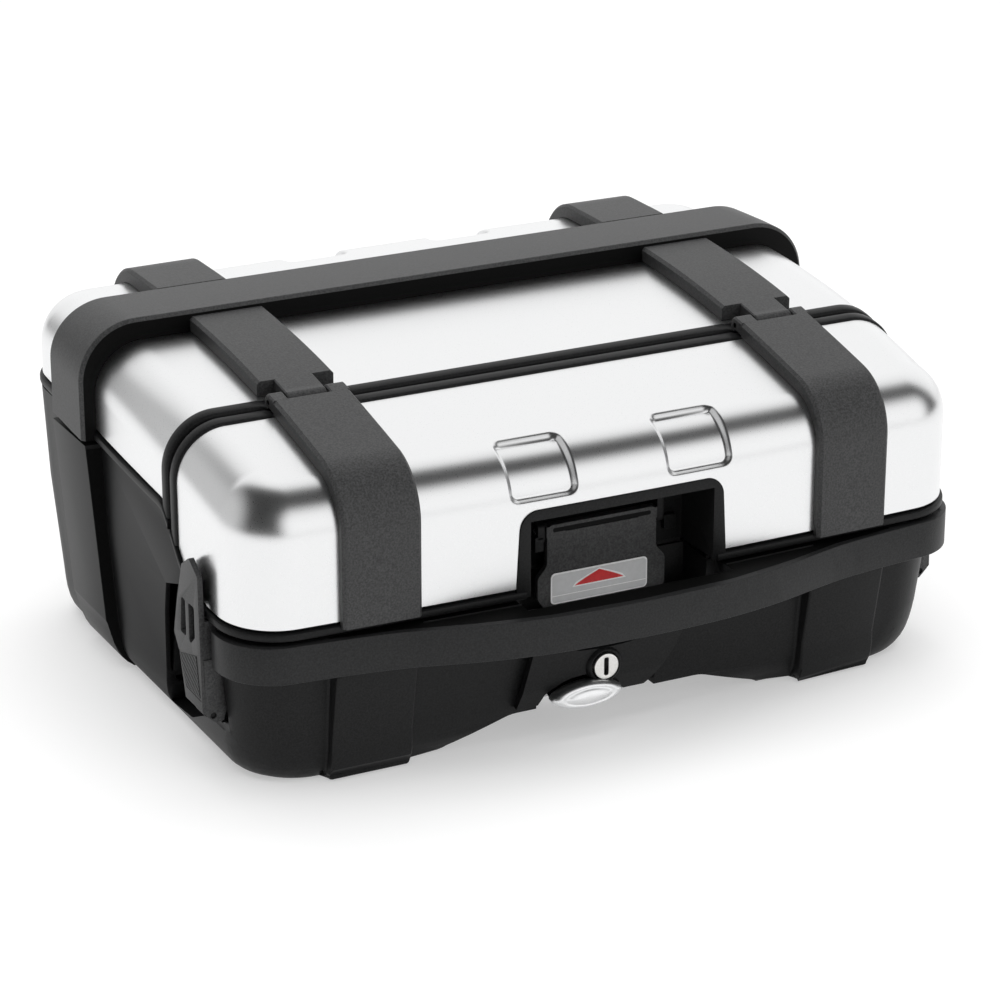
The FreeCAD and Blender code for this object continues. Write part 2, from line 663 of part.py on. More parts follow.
# ---- write everything ----------------------------------------------------------------------
def main():
    save("base_shell", base_shell())
    save("base_rim", base_rim())
    save("base_seal", base_seal())
    save("lock_housing", lock_housing())
    save("lock_trim", lock_trim())
    save("key_cylinder", key_cylinder())
    save("lock_cam", lock_cam())
    save("release_button", release_button())
    save("release_hook", release_hook())
    save("release_hook_pin", hook_pin())
    save("mounting_plate", mounting_plate())
    save("hook_bracket", hook_bracket())
    save("floor_mat", floor_mat())
    save("striker", striker())
    save("plate_screws", screw_group(plate_screw_places(), 5.4, V(0, 0, 1)))
    save("hinge_screws", screw_group(hinge_screw_places(), 8.5, V(0, 1, 0)))
    save_pair("hinge_base", hinge_base())
    save_pair("hinge_lid", hinge_lid())
    save_pair("hinge_pin", hinge_pin())
    frame = lid_frame_form()
    cover = cover_form()
    form = strap_form()
    save("rear_lid_frame", rear_lid_frame(frame))
    save("rear_lid_cover", cover.common(slab(SEAM_REAR + 0.5, BIG)))
    save("cross_band", cross_band())
    save_pair("mid_strap", mid_strap(form))
    save_pair("rear_strap", rear_strap(form))
    save("seam_seal", seam_seal())
    save("flap_frame", flap_frame(frame))
    save("flap_cover", flap_cover(cover))
    save_pair("front_strap", front_strap(form))
    save_pair("strap_pin", strap_pin())
    save("handle_recess", handle_recess())
    save("latch_pin", latch_pin())
    save("flap_seal", flap_seal())
    save("latch_plate", latch_plate())
    save("latch_label", latch_label())
    save("latch_arrow", latch_arrow())
    save("latch_hook", latch_hook())
    save_pair("side_lever", side_lever())
    save_pair("lever_grip", lever_grip())
    save_pair("lever_pin", lever_pin())
    save_pair("lever_bracket", lever_bracket())


main()
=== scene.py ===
import json
import math

import bmesh
import bpy
import numpy as np
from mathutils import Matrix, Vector

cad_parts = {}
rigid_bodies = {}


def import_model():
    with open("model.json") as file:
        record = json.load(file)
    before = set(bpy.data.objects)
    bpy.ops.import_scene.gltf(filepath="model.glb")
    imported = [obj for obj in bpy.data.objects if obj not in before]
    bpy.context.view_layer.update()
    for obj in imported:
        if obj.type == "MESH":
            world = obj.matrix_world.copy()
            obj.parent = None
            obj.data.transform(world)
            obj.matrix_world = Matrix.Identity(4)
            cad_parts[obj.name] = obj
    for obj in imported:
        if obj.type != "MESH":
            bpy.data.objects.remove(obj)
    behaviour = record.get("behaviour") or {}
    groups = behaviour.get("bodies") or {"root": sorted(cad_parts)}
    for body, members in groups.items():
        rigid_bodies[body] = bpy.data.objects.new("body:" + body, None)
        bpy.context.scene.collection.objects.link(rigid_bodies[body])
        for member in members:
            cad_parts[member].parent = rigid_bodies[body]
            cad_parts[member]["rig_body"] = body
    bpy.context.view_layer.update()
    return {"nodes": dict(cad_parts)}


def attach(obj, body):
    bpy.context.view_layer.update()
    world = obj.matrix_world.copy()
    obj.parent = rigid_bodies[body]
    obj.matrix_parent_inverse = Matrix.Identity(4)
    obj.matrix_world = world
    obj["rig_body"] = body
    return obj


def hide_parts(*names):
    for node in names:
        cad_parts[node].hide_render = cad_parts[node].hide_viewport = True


# Looks of the top case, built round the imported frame. Sizes are in millimetres in the frame's own
# axes, and are multiplied by MM where a mesh is made.

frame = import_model()
MM = 0.001

# ---- sizes shared with the CAD part --------------------------------------------------------
HALF_WIDTH, SIDE_BOW = 256.0, 4.0
COVER_FRONT, COVER_REAR = -168.0, 192.0
FRONT_BOW, REAR_BOW = 6.0, 3.0
CORNER_R, EDGE_R = 38.0, 33.0
TOP_LINE = np.array([(-260, 170), (-137, 198), (-62, 212.8), (56, 224.6), (130, 226), (260, 223)])
JOINT_LINE = [(-240, 98), (-118, 104), (-84, 121), (-68, 140), (-57, 152), (56, 160), (240, 168)]
SEAM_REAR, SEAM_FRONT = -57.0, -78.0
STRAP_IN, STRAP_OUT = 138.6, 190.0
HINGE_NOTCH = (-188.6, -140.0, 140.0, 188.6)      # x of the gaps for the rear hinges


# ---- materials -----------------------------------------------------------------------------
def new_material(name):
    mat = bpy.data.materials.new(name)
    mat.use_nodes = True
    nodes = mat.node_tree.nodes
    return mat, nodes, mat.node_tree.links, nodes["Principled BSDF"]


def position_noise(nodes, links, scale, detail, roughness=0.5):
    """Noise laid out in the object's own coordinates."""
    coords = nodes.new("ShaderNodeTexCoord")
    tex = nodes.new("ShaderNodeTexNoise")
    tex.inputs["Scale"].default_value = scale
    tex.inputs["Detail"].default_value = detail
    tex.inputs["Roughness"].default_value = roughness
    links.new(coords.outputs["Object"], tex.inputs["Vector"])
    return tex.outputs["Fac"]


def ramp(nodes, links, source, stops):
    node = nodes.new("ShaderNodeValToRGB")
    elements = node.color_ramp.elements
    for i, (place, colour) in enumerate(stops):
        item = elements[i] if i < 2 else elements.new(place)
        item.position = place
        item.color = colour if len(colour) == 4 else (*colour, 1.0)
    links.new(source, node.inputs["Fac"])
    return node.outputs["Color"]


def grey(v):
    return (v, v, v, 1.0)


def surface(name, noise, dark_at, light_at, tones, rough, depth):
    """Material whose colour, roughness and bump all follow one noise."""
    mat, nodes, links, bsdf = new_material(name)
    tone = position_noise(nodes, links, *noise)
    links.new(ramp(nodes, links, tone, [(dark_at, tones[0]), (light_at, tones[1])]), bsdf.inputs["Base Color"])
    spread = nodes.new("ShaderNodeMapRange")
    spread.inputs["To Min"].default_value, spread.inputs["To Max"].default_value = rough
    links.new(tone, spread.inputs["Value"])
    links.new(spread.outputs["Result"], bsdf.inputs["Roughness"])
    bump = nodes.new("ShaderNodeBump")
    bump.inputs["Strength"].default_value = 1.0
    bump.inputs["Distance"].default_value = depth
    links.new(tone, bump.inputs["Height"])
    links.new(bump.outputs["Normal"], bsdf.inputs["Normal"])
    return mat, bsdf


def plastic(name, dark, light, rough_low, rough_high, grain, depth, specular):
    """Moulded plastic: fine spark-eroded grain in the bump, with painted shade and painted glints in its colour: the
    colour follows the same noise, darker in the hollows and lighter on the tops.
    """
    mat, bsdf = surface(name, (grain, 3.0, 0.6), 0.36, 0.66, (dark, light), (rough_low, rough_high), depth)
    bsdf.inputs["Specular IOR Level"].default_value = specular
    return mat


def metal(name, dark, light, rough_low, rough_high, grain, depth):
    mat, bsdf = surface(name, (grain, 3.0, 0.6), 0.3, 0.7, (dark, light), (rough_low, rough_high), depth)
    bsdf.inputs["Metallic"].default_value = 1.0
    return mat


MAT = {
    "moulding": plastic("moulding", (0.0045, 0.0046, 0.0048), (0.012, 0.0122, 0.0126), 0.36, 0.50, 900.0, 6.0e-5,
                        0.18),
    "grained": plastic("grained_moulding", (0.024, 0.0242, 0.0247), (0.058, 0.0583, 0.059), 0.42, 0.58, 820.0, 1.2e-4,
                       0.35),
    "rim": plastic("rim_moulding", (0.010, 0.0102, 0.0105), (0.021, 0.0213, 0.022), 0.38, 0.52, 850.0, 1.0e-4, 0.24),
    # A near-black copy of the moulding: painted shade, used on plates and parts that stand for the shade in gaps,
    # grooves and recesses
    "painted_shade": plastic("painted_shade_moulding", (0.002, 0.002, 0.002), (0.004, 0.004, 0.004), 0.55, 0.7, 900.0, 2.0e-5, 0.12),
    "rubber": plastic("seal_rubber", (0.010, 0.010, 0.010), (0.016, 0.016, 0.016), 0.6, 0.8, 700.0, 3.0e-5, 0.3),
    "mat_rubber": plastic("mat_rubber", (0.014, 0.014, 0.015), (0.024, 0.024, 0.026), 0.65, 0.85, 500.0, 8.0e-5, 0.3),
    "aluminium": metal("cover_aluminium", (0.775, 0.78, 0.785), (0.80, 0.803, 0.805), 0.26, 0.30, 1500.0, 1.2e-6),
    "steel": metal("steel", (0.52, 0.52, 0.53), (0.66, 0.66, 0.67), 0.22, 0.34, 700.0, 3.0e-6),
    "nickel": metal("nickel", (0.66, 0.65, 0.63), (0.78, 0.77, 0.75), 0.24, 0.34, 900.0, 6.0e-6),
    "button": metal("button_silver", (0.80, 0.805, 0.81), (0.88, 0.885, 0.89), 0.28, 0.36, 1200.0, 3.0e-6),
    "label": plastic("label_silver", (0.60, 0.605, 0.61), (0.64, 0.645, 0.65), 0.30, 0.40, 300.0, 1.0e-6, 0.5),
    "white": plastic("label_white", (0.93, 0.93, 0.93), (0.97, 0.97, 0.97), 0.35, 0.45, 300.0, 1.0e-6, 0.5),
    "red": plastic("label_red", (0.60, 0.010, 0.012), (0.70, 0.016, 0.018), 0.35, 0.42, 300.0, 1.0e-6, 0.5),
}


# the material slot of the record that each look stands for
SLOT = {"moulding": "moulding", "grained": "grained_moulding", "rubber": "seal_rubber", "mat_rubber": "mat_rubber",
        "aluminium": "cover_aluminium", "steel": "steel", "nickel": "nickel", "button": "button_silver",
        "label": "label_silver", "white": "label_silver", "red": "label_red", "painted_shade": "moulding", "rim": "moulding"}


def dress(obj, key):
    obj.data.materials.clear()
    obj.data.materials.append(MAT[key])
    return obj


# ---- mesh helpers --------------------------------------------------------------------------
def linked(name, data):
    obj = bpy.data.objects.new(name, data)
    bpy.context.scene.collection.objects.link(obj)
    return obj


def piece_from(bm, name, body, key, stands_for=(), smooth_angle=None, slot=None):
    mesh = bpy.data.meshes.new(name)
    bm.to_mesh(mesh)
    bm.free()
    obj = linked(name, mesh)
    for p in mesh.polygons:
        p.use_smooth = True
    if smooth_angle is not None:
        mesh.set_sharp_from_angle(angle=math.radians(smooth_angle))
    dress(obj, key)
    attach(obj, body)
    slot or SLOT[key]
    if stands_for:
        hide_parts(*stands_for)
    return obj


def add_bevel(obj, width, segments=3, angle=30.0):
    mod = obj.modifiers.new("edges", "BEVEL")
    mod.width = width * MM
    mod.segments = segments
    mod.limit_method = "ANGLE"
    mod.angle_limit = math.radians(angle)
    mod.harden_normals = True
    mod.miter_outer = "MITER_ARC"


def soften(node, key, width, segments=3, angle=30.0, shape=None):
    """A CAD form with its edges rounded as a mould or a press leaves them."""
    source = frame["nodes"][node]
    bm = bmesh.new()
    bm.from_mesh(source.data)
    bmesh.ops.remove_doubles(bm, verts=bm.verts, dist=2e-6)
    bmesh.ops.dissolve_limit(bm, angle_limit=math.radians(0.6), verts=bm.verts, edges=bm.edges)
    if shape:
        shape(bm)
    obj = piece_from(bm, node + "_finish", source["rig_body"], key, [node])
    add_bevel(obj, width, segments, angle)
    return obj


def split_at(bm, place, normal, **options):
    """Cuts the whole mesh with the plane through place (in metres)."""
    geom = bm.verts[:] + bm.edges[:] + bm.faces[:]
    bmesh.ops.bisect_plane(bm, geom=geom, plane_co=place, plane_no=normal, **options)


def round_edges(bm, choose, width):
    """Rounds the sharp edges whose two ends (in millimetres) are chosen."""
    picked = []
    for edge in bm.edges:
        if len(edge.link_faces) == 2 and edge.calc_face_angle(0.0) > math.radians(25):
            if choose(edge.verts[0].co / MM, edge.verts[1].co / MM):
                picked.append(edge)
    if picked:
        bmesh.ops.bevel(bm, geom=picked, offset=width * MM, offset_type="OFFSET", segments=3,
                        profile=0.5, affect="EDGES", clamp_overlap=True)


# ---- curves of the upper case --------------------------------------------------------------
def natural_spline(points):
    """Natural cubic spline through (y, z) points, as a height and a slope function."""
    x, y = points[:, 0].astype(float), points[:, 1].astype(float)
    n = len(x)
    h = np.diff(x)
    a = np.zeros((n, n))
    b = np.zeros(n)
    a[0, 0] = a[-1, -1] = 1.0
    for i in range(1, n - 1):
        a[i, i - 1:i + 2] = h[i - 1], 2 * (h[i - 1] + h[i]), h[i]
        b[i] = 6 * ((y[i + 1] - y[i]) / h[i] - (y[i] - y[i - 1]) / h[i - 1])
    m = np.linalg.solve(a, b)

    def value(v):
        v = np.asarray(v, float)
        i = np.clip(np.searchsorted(x, v) - 1, 0, n - 2)
        t, u = v - x[i], x[i + 1] - v
        return (m[i] * u**3 + m[i + 1] * t**3) / (6 * h[i]) \
            + (y[i] / h[i] - m[i] * h[i] / 6) * u + (y[i + 1] / h[i] - m[i + 1] * h[i] / 6) * t

    def slope(v):
        return (value(np.asarray(v) + 0.5) - value(np.asarray(v) - 0.5))

    return value, slope


crown, crown_slope = natural_spline(TOP_LINE)


def rounded_line(points, radius, steps=10):
    """Polyline with its inner corners rounded."""
    pts = [np.array(p, float) for p in points]
    out = [pts[0]]
    for before, here, after in zip(pts, pts[1:], pts[2:]):
        d0 = (before - here) / np.linalg.norm(before - here)
        d1 = (after - here) / np.linalg.norm(after - here)
        half = math.acos(np.clip(d0 @ d1, -1, 1)) / 2
        reach = radius / math.tan(half)
        centre = here + (d0 + d1) / np.linalg.norm(d0 + d1) * radius / math.sin(half)
        a, b = here + d0 * reach - centre, here + d1 * reach - centre
        for k in range(steps + 1):
            t = k / steps
            way = a * (1 - t) + b * t
            out.append(centre + way / np.linalg.norm(way) * radius)
    out.append(pts[-1])
    return np.array(out)


JOINT = rounded_line(JOINT_LINE, 12.0)


def joint(y):
    """Height of the joint between base and lid."""
    return np.interp(y, JOINT[:, 0], JOINT[:, 1])


class Form:
    """The rounded form of the upper case, moved out by side and up by top."""

    def __init__(self, side=0.0, top=0.0, edge=None):
        half = HALF_WIDTH + side
        front, rear = COVER_FRONT - side, COVER_REAR + side
        middle, reach = (front + rear) / 2, (rear - front) / 2
        end = half - SIDE_BOW
        self.top = top
        self.r = (EDGE_R if edge is None else edge) + min(side, top)
        self.corner = CORNER_R + side
        rf = (end**2 + FRONT_BOW**2) / (2 * FRONT_BOW)
        rr = (end**2 + REAR_BOW**2) / (2 * REAR_BOW)
        rs = (reach**2 + SIDE_BOW**2) / (2 * SIDE_BOW)
        self.arcs = {"front": (np.array([0, front - FRONT_BOW + rf]), rf),
                     "rear": (np.array([0, rear + REAR_BOW - rr]), rr),
                     "right": (np.array([half - rs, middle]), rs)}
        self.fillets = {}
        for end_name in ("front", "rear"):
            c0, r0 = self.arcs[end_name]
            c1, r1 = self.arcs["right"]
            self.fillets[end_name] = self._tangent(c0, r0 - self.corner, c1, r1 - self.corner,
                                                   -1 if end_name == "front" else 1)

    @staticmethod
    def _tangent(c0, r0, c1, r1, sign):
        d = np.linalg.norm(c1 - c0)
        a = (r0**2 - r1**2 + d**2) / (2 * d)
        h = math.sqrt(max(r0**2 - a**2, 0))
        u = (c1 - c0) / d
        base = c0 + a * u
        side = np.array([-u[1], u[0]])
        both = [base + h * side, base - h * side]
        good = [p for p in both if p[0] > 0 and p[1] * sign > 0]
        return good[0]

    def outline(self, front_x, corner_n, side_n, rear_x):
        """Plan points and outward normals, anticlockwise from the front left."""
        cf, rf = self.arcs["front"]
        cr, rr = self.arcs["rear"]
        cs, rs = self.arcs["right"]
        ff, fr = self.fillets["front"], self.fillets["rear"]
        limit_f = (cf + (ff - cf) / np.linalg.norm(ff - cf) * rf)[0]
        limit_r = (cr + (fr - cr) / np.linalg.norm(fr - cr) * rr)[0]
        pts, nor = [], []

        def add(centre, radius, direction):
            direction = direction / np.linalg.norm(direction)
            pts.append(centre + direction * radius)
            nor.append(direction)

        def angle(v):
            return math.atan2(v[1], v[0])

        def sweep(centre, radius, a0, a1, steps, ends):
            """Adds the points between two angles, with or without the first and the last."""
            for k in range(0, steps + 1) if ends else range(1, steps):
                a = a0 + (a1 - a0) * k / steps
                add(centre, radius, np.array([math.cos(a), math.sin(a)]))

        limit = min(limit_f, limit_r) - 0.3
        fx = [-limit_f] + [x for x in front_x if abs(x) < limit] + [limit_f]
        for x in fx:
            add(cf, rf, np.array([x, -math.sqrt(rf**2 - x**2)]))
        sweep(ff, self.corner, angle(ff - cf), angle(ff - cs), corner_n, False)
        sweep(cs, rs, angle(ff - cs), angle(fr - cs), side_n, True)
        sweep(fr, self.corner, angle(fr - cs), angle(fr - cr), corner_n, False)
        rx = [limit_r] + [x for x in rear_x if abs(x) < limit] + [-limit_r]
        for x in rx:
            add(cr, rr, np.array([x, math.sqrt(rr**2 - x**2)]))
        n_half = len(pts)
        mirrored_side = [(p * (-1, 1), n * (-1, 1)) for p, n in
                         zip(pts[len(fx):n_half - len(rx)], nor[len(fx):n_half - len(rx)])]
        for p, n in mirrored_side[::-1]:
            pts.append(p)
            nor.append(n)
        return np.array(pts), np.array(nor)

    def bend(self, p, n):
        """Start height, end angle of the rounding between wall and crown at plan points."""
        p, n = np.atleast_2d(p), np.atleast_2d(n)
        alpha = np.arctan(crown_slope(p[:, 1] - n[:, 1] * self.r) * -n[:, 1])
        end_y = p[:, 1] - n[:, 1] * self.r * (1 - np.sin(alpha))
        zc = crown(end_y) + self.top - self.r * np.cos(alpha)
        return zc, np.pi / 2 - alpha

    def front_y(self, x):
        c, r = self.arcs["front"]
        return c[1] - math.sqrt(r * r - x * x)

    def rear_y(self, x):
        c, r = self.arcs["rear"]
        return c[1] + math.sqrt(r * r - x * x)

    def side_x(self, y):
        c, r = self.arcs["right"]
        return c[0] + math.sqrt(r * r - (y - c[1])**2)

    def z(self, y):
        return crown(y) + self.top


# ---- aluminium covers and the moulded frames under them ------------------------------------
POCKETS = [(-77.5, -31.0), (31.0, 77.5)]     # x range of the pressed pockets over the bends
POCKET_DEPTH, POCKET_SOFT, POCKET_R = 3.6, 3.0, 7.0     # depth, width of the flank, corner radius
CORNER_STEPS, SIDE_STEPS = 22, 84


def smooth(t):
    t = np.clip(t, 0, 1)
    return t * t * (3 - 2 * t)


def pocket_depth(x, run, low, high, grow):
    """Depth of the pockets; run is the way along the bend, from low to high."""
    depth = np.zeros_like(x)
    for x0, x1 in POCKETS:
        cx, hx = (x0 + x1) / 2, (x1 - x0) / 2 + grow
        cy, hy = (low + high) / 2, (high - low) / 2 + grow
        qx = np.abs(x - cx) - (hx - POCKET_R)
        qy = np.abs(run - cy) - (hy - POCKET_R)
        dist = np.hypot(np.maximum(qx, 0), np.maximum(qy, 0)) + np.minimum(np.maximum(qx, qy), 0) - POCKET_R
        t = np.clip(-dist / POCKET_SOFT, 0, 1)
        depth = np.maximum(depth, POCKET_DEPTH * (0.6 * smooth(t) + 0.4 * t))
    return depth


class Opening:
    """The cut-out round the handle recess: half width at its top, top height, corner and slant."""

    def __init__(self, half, top, r, slant):
        self.half, self.top, self.r, self.slant = half, top, r, slant


WALL_ROWS, BEND_ROWS = 10, 54       # below and above the split of the wall, and over the bend


def skin_grid(form, lift, opening):
    """Rows of points over the upper case, from lift above the joint to the edge of the roof."""
    edge_x = opening.half
    half = np.concatenate([np.arange(0, 27, 3.0), np.arange(27, edge_x - 0.4, 0.8), [edge_x],
                           np.arange(edge_x + 0.8, 84, 0.8), np.arange(86, 240, 4.0)])
    xs = np.unique(np.round(np.concatenate([half, -half]), 3))
    pts, nor = form.outline(xs, CORNER_STEPS, SIDE_STEPS, xs[::-1])
    x_plan = np.abs(pts[:, 0])
    zc, end = form.bend(pts, nor)
    low = joint(pts[:, 1]) + lift
    is_front = nor[:, 1] < -0.99
    inside = is_front & (x_plan < edge_x - 0.01)
    base = opening.top - opening.r
    split = low + (zc - low) * 0.7
    blend = np.clip((x_plan - edge_x) / 40.0, 0, 1)
    split = np.where(is_front & (x_plan < edge_x + 40), base * (1 - blend) + split * blend, split)
    over = np.clip(x_plan - (edge_x - opening.r), 0, opening.r)
    split = np.where(is_front & (x_plan <= edge_x + 0.01), base + np.sqrt(opening.r**2 - over**2), split)
    reach = np.where(x_plan > edge_x, 30.0, 12.0)
    follow = np.clip(1 - np.abs(x_plan - edge_x) / reach, 0, 1) * is_front

    def wall(z):
        lean = np.clip((opening.top - z) * opening.slant, 0, None)
        return np.stack([pts[:, 0] + np.sign(pts[:, 0]) * lean * follow, pts[:, 1], z], 1)

    rows = [wall(low + (split - low) * k / WALL_ROWS) for k in range(WALL_ROWS)]
    rows += [wall(split + (zc - split) * k / WALL_ROWS) for k in range(WALL_ROWS)]
    for k in range(BEND_ROWS + 1):
        phi = end * k / BEND_ROWS
        xy = pts - nor * (form.r * (1 - np.cos(phi)))[:, None]
        rows.append(np.column_stack([xy, zc + form.r * np.sin(phi)]))
    return np.array(rows), inside


def roof_patch(ring):
    """Grid over the roof whose border is the ring; corners of the patch fall in the ring's corners."""
    count = len(ring)
    n_side = SIDE_STEPS + 1
    n_front = (count - 4 * (CORNER_STEPS - 1) - 2 * n_side) // 2
    mid = CORNER_STEPS // 2 - 1
    m1 = n_front + mid
    m2 = n_front + (CORNER_STEPS - 1) + n_side + mid
    m3 = m2 - mid + (CORNER_STEPS - 1) + n_front + mid
    m4 = m3 - mid + (CORNER_STEPS - 1) + n_side + mid
    bottom = list(range(m4, count)) + list(range(0, m1 + 1))
    top = list(range(m3, m2 - 1, -1))
    right = list(range(m1, m2 + 1))
    left = list(range(m4, m3 - 1, -1))
    index = -np.ones((len(right), len(bottom)), int)
    index[0], index[-1], index[:, 0], index[:, -1] = bottom, top, left, right
    u = np.linspace(0, 1, len(bottom))[None, :, None]
    v = np.linspace(0, 1, len(right))[:, None, None]
    b, t, lft, rgt = (ring[i][:, :2] for i in (bottom, top, left, right))
    grid = (1 - v) * b[None] + v * t[None] + (1 - u) * lft[:, None] + u * rgt[:, None] \
        - ((1 - u) * (1 - v) * b[0] + u * (1 - v) * b[-1] + (1 - u) * v * t[0] + u * v * t[-1])
    return grid, index


def surface_normals(rows):
    du = np.roll(rows, -1, 1) - np.roll(rows, 1, 1)
    dv = np.empty_like(rows)
    dv[1:-1] = rows[2:] - rows[:-2]
    dv[0], dv[-1] = rows[1] - rows[0], rows[-1] - rows[-2]
    normal = np.cross(du, dv)
    return normal / np.maximum(np.linalg.norm(normal, axis=2, keepdims=True), 1e-9)


def pressed_skin(form, lift, opening, grow):
    """Mesh of the whole upper case skin, with the pockets pressed into its bends."""
    rows, inside = skin_grid(form, lift, opening)
    start = 2 * WALL_ROWS
    step = np.linalg.norm(np.diff(rows, axis=0), axis=2)
    run = np.concatenate([np.zeros((1, rows.shape[1])), np.cumsum(step, 0)])
    run -= run[start]
    length = run[start + BEND_ROWS][None, :]
    depth = pocket_depth(rows[:, :, 0], run, 1.5, length + 4.5, grow)
    steep = (np.abs(rows[0, :, 1]) > 150)[None, :]
    patch, index = roof_patch(rows[-1])
    moved = rows - surface_normals(rows) * (depth * steep)[:, :, None]
    bm = bmesh.new()
    count = rows.shape[1]
    verts = [[bm.verts.new(moved[i, j] * MM) for j in range(count)] for i in range(len(rows))]
    for i in range(len(rows) - 1):
        for j in range(count):
            jn = (j + 1) % count
            if i < WALL_ROWS and (inside[j] or inside[jn]):
                continue
            bm.faces.new((verts[i][j], verts[i][jn], verts[i + 1][jn], verts[i + 1][j]))
    n_v, n_u = patch.shape[:2]
    z = form.z(patch[:, :, 1])
    from_edge = np.where(patch[:, :, 1] < 0, patch[:, :, 1] - rows[-1][:, 1].min(),
                         rows[-1][:, 1].max() - patch[:, :, 1])
    z = z - pocket_depth(patch[:, :, 0], from_edge, -40.0, 4.5, grow)
    inner = [[verts[-1][index[a][b]] if index[a][b] >= 0 else bm.verts.new((*(patch[a, b] * MM), z[a, b] * MM))
              for b in range(n_u)] for a in range(n_v)]
    for a in range(n_v - 1):
        for b in range(n_u - 1):
            bm.faces.new((inner[a][b], inner[a][b + 1], inner[a + 1][b + 1], inner[a + 1][b]))
    for lone in [v for v in bm.verts if not v.link_faces]:
        bm.verts.remove(lone)
    return bm


def keep_side(bm, y, front):
    """Cuts at y and keeps the front or the rear part."""
    split_at(bm, (0, y * MM, 0), (0, 1 if front else -1, 0), clear_outer=True, dist=1e-6)


def carve(bm, planes, inside):
    """Splits along the planes and deletes the faces whose middle is inside."""
    for place, normal in planes:
        split_at(bm, Vector(place) * MM, normal, dist=1e-6)
    gone = [f for f in bm.faces if inside(f.calc_center_median() / MM)]
    bmesh.ops.delete(bm, geom=gone, context="FACES")


def add_sheet(obj, thickness):
    mod = obj.modifiers.new("sheet", "SOLIDIFY")
    mod.thickness = thickness * MM
    mod.offset = -1.0


def owner(front):
    """Start of the names, and body, of the flap's or the rear lid's pieces."""
    return ("flap", "flap") if front else ("rear", "rear_lid")


def build_skin(front, kind, form, lift, opening, cut_y, thickness, key, grow, bevel):
    word, body = owner(front)
    node, part = kind.split("_")
    bm = pressed_skin(form, lift, opening, grow)
    keep_side(bm, cut_y, front)
    if not front and key != "aluminium":
        notch = [((x, 0, 0), (1, 0, 0)) for x in HINGE_NOTCH] + [((0, 0, 173.5), (0, 0, 1))]
        carve(bm, notch, lambda c: 140 < abs(c.x) < 188.6 and c.y > 150 and c.z < 173.5)
    obj = piece_from(bm, f"{word}_{node}_{part}", body, key, [body + "_" + node])
    add_sheet(obj, thickness)
    add_bevel(obj, bevel, 2, 50)


COVER_OPENING = Opening(70.8, 160.0, 12.0, 5.9 / 100.0)
FRAME_OPENING = Opening(67.3, 156.3, 3.0, 0.0)
COVER_FORM, FRAME_FORM = Form(), Form(-2.2, -2.2)
for front, cut_y in ((True, SEAM_FRONT - 0.5), (False, SEAM_REAR + 0.5)):
    build_skin(front, "cover_sheet", COVER_FORM, 9.0, COVER_OPENING, cut_y, 2.0, "aluminium", 0.0, 0.45)
for front, cut_y in ((True, -69.0), (False, -66.0)):
    build_skin(front, "frame_wall", FRAME_FORM, 2.0, FRAME_OPENING, cut_y, 3.0, "moulding", 1.0, 0.5)


# ---- swept pieces --------------------------------------------------------------------------
def loft(bm, rings, closed_path=False):
    """Skin over a list of equal closed rings of points in millimetres."""
    verts = [[bm.verts.new(np.asarray(p) * MM) for p in ring] for ring in rings]
    n = len(rings[0])
    pairs = list(zip(verts, verts[1:])) + ([(verts[-1], verts[0])] if closed_path else [])
    for r0, r1 in pairs:
        for k in range(n):
            kn = (k + 1) % n
            bm.faces.new((r0[k], r0[kn], r1[kn], r1[k]))
    if not closed_path:
        bm.faces.new(verts[0][::-1])
        bm.faces.new(verts[-1])


def finish_mesh(bm):
    bmesh.ops.remove_doubles(bm, verts=bm.verts, dist=5e-6)
    bmesh.ops.recalc_face_normals(bm, faces=bm.faces)


LIP_SECTION = [(-4.6, 2.0), (1.1, 2.0), (1.8, 2.5), (2.0, 3.2), (2.0, 5.6), (1.7, 6.5), (0.9, 7.0), (-4.6, 7.0)]


def build_lip(front):
    """The moulded lip that stands out under the aluminium edge."""
    xs = np.arange(-240, 240.1, 4.0)
    pts, nor = COVER_FORM.outline(xs, 28, SIDE_STEPS, xs[::-1])
    rings = [[(*(p + n * d), joint(p[1]) + h) for d, h in LIP_SECTION] for p, n in zip(pts, nor)]
    bm = bmesh.new()
    loft(bm, rings, closed_path=True)
    if front:
        cuts = [((0, -69.0, 0), (0, 1, 0)), ((-67.3, 0, 0), (1, 0, 0)), ((67.3, 0, 0), (1, 0, 0))]
        carve(bm, cuts, lambda c: c.y > -69.0 or (abs(c.x) < 67.3 and c.y < -120))
    else:
        cuts = [((0, -66.0, 0), (0, 1, 0))] + [((x, 0, 0), (1, 0, 0)) for x in HINGE_NOTCH]
        carve(bm, cuts, lambda c: c.y < -66.0 or (140 < abs(c.x) < 188.6 and c.y > 150))
    bmesh.ops.holes_fill(bm, edges=bm.edges, sides=12)
    finish_mesh(bm)
    word, body = owner(front)
    piece_from(bm, word + "_lip", body, "moulding", [body + "_frame"], 35)


build_lip(True)
build_lip(False)


def section_xz(form, y, z_low, steps=20):
    """Right half of the case outline across X at one y: points and normals from the side to the middle."""
    side = form.side_x(y)
    z_top = float(form.z(y))
    zc = z_top - form.r
    pts = [((side, z), (1.0, 0.0)) for z in np.linspace(z_low, zc, 8)]
    for k in range(1, steps + 1):
        a = math.pi / 2 * k / steps
        pts.append(((side - form.r * (1 - math.cos(a)), zc + form.r * math.sin(a)), (math.cos(a), math.sin(a))))
    for x in np.linspace(side - form.r, 0, 24)[1:]:
        pts.append(((x, z_top), (0.0, 1.0)))
    return pts


def across_path(form, y, z_low):
    half = section_xz(form, y, z_low)
    return half + [((-x, z), (-nx, nz)) for (x, z), (nx, nz) in half[-2::-1]]


BEAD = [(0.0, -3.0), (0.0, 0.3), (0.5, 1.0), (1.6, 1.45), (4.5, 1.5), (7.2, 1.35), (8.3, 0.8), (8.8, 0.0), (9.0, -3.0)]


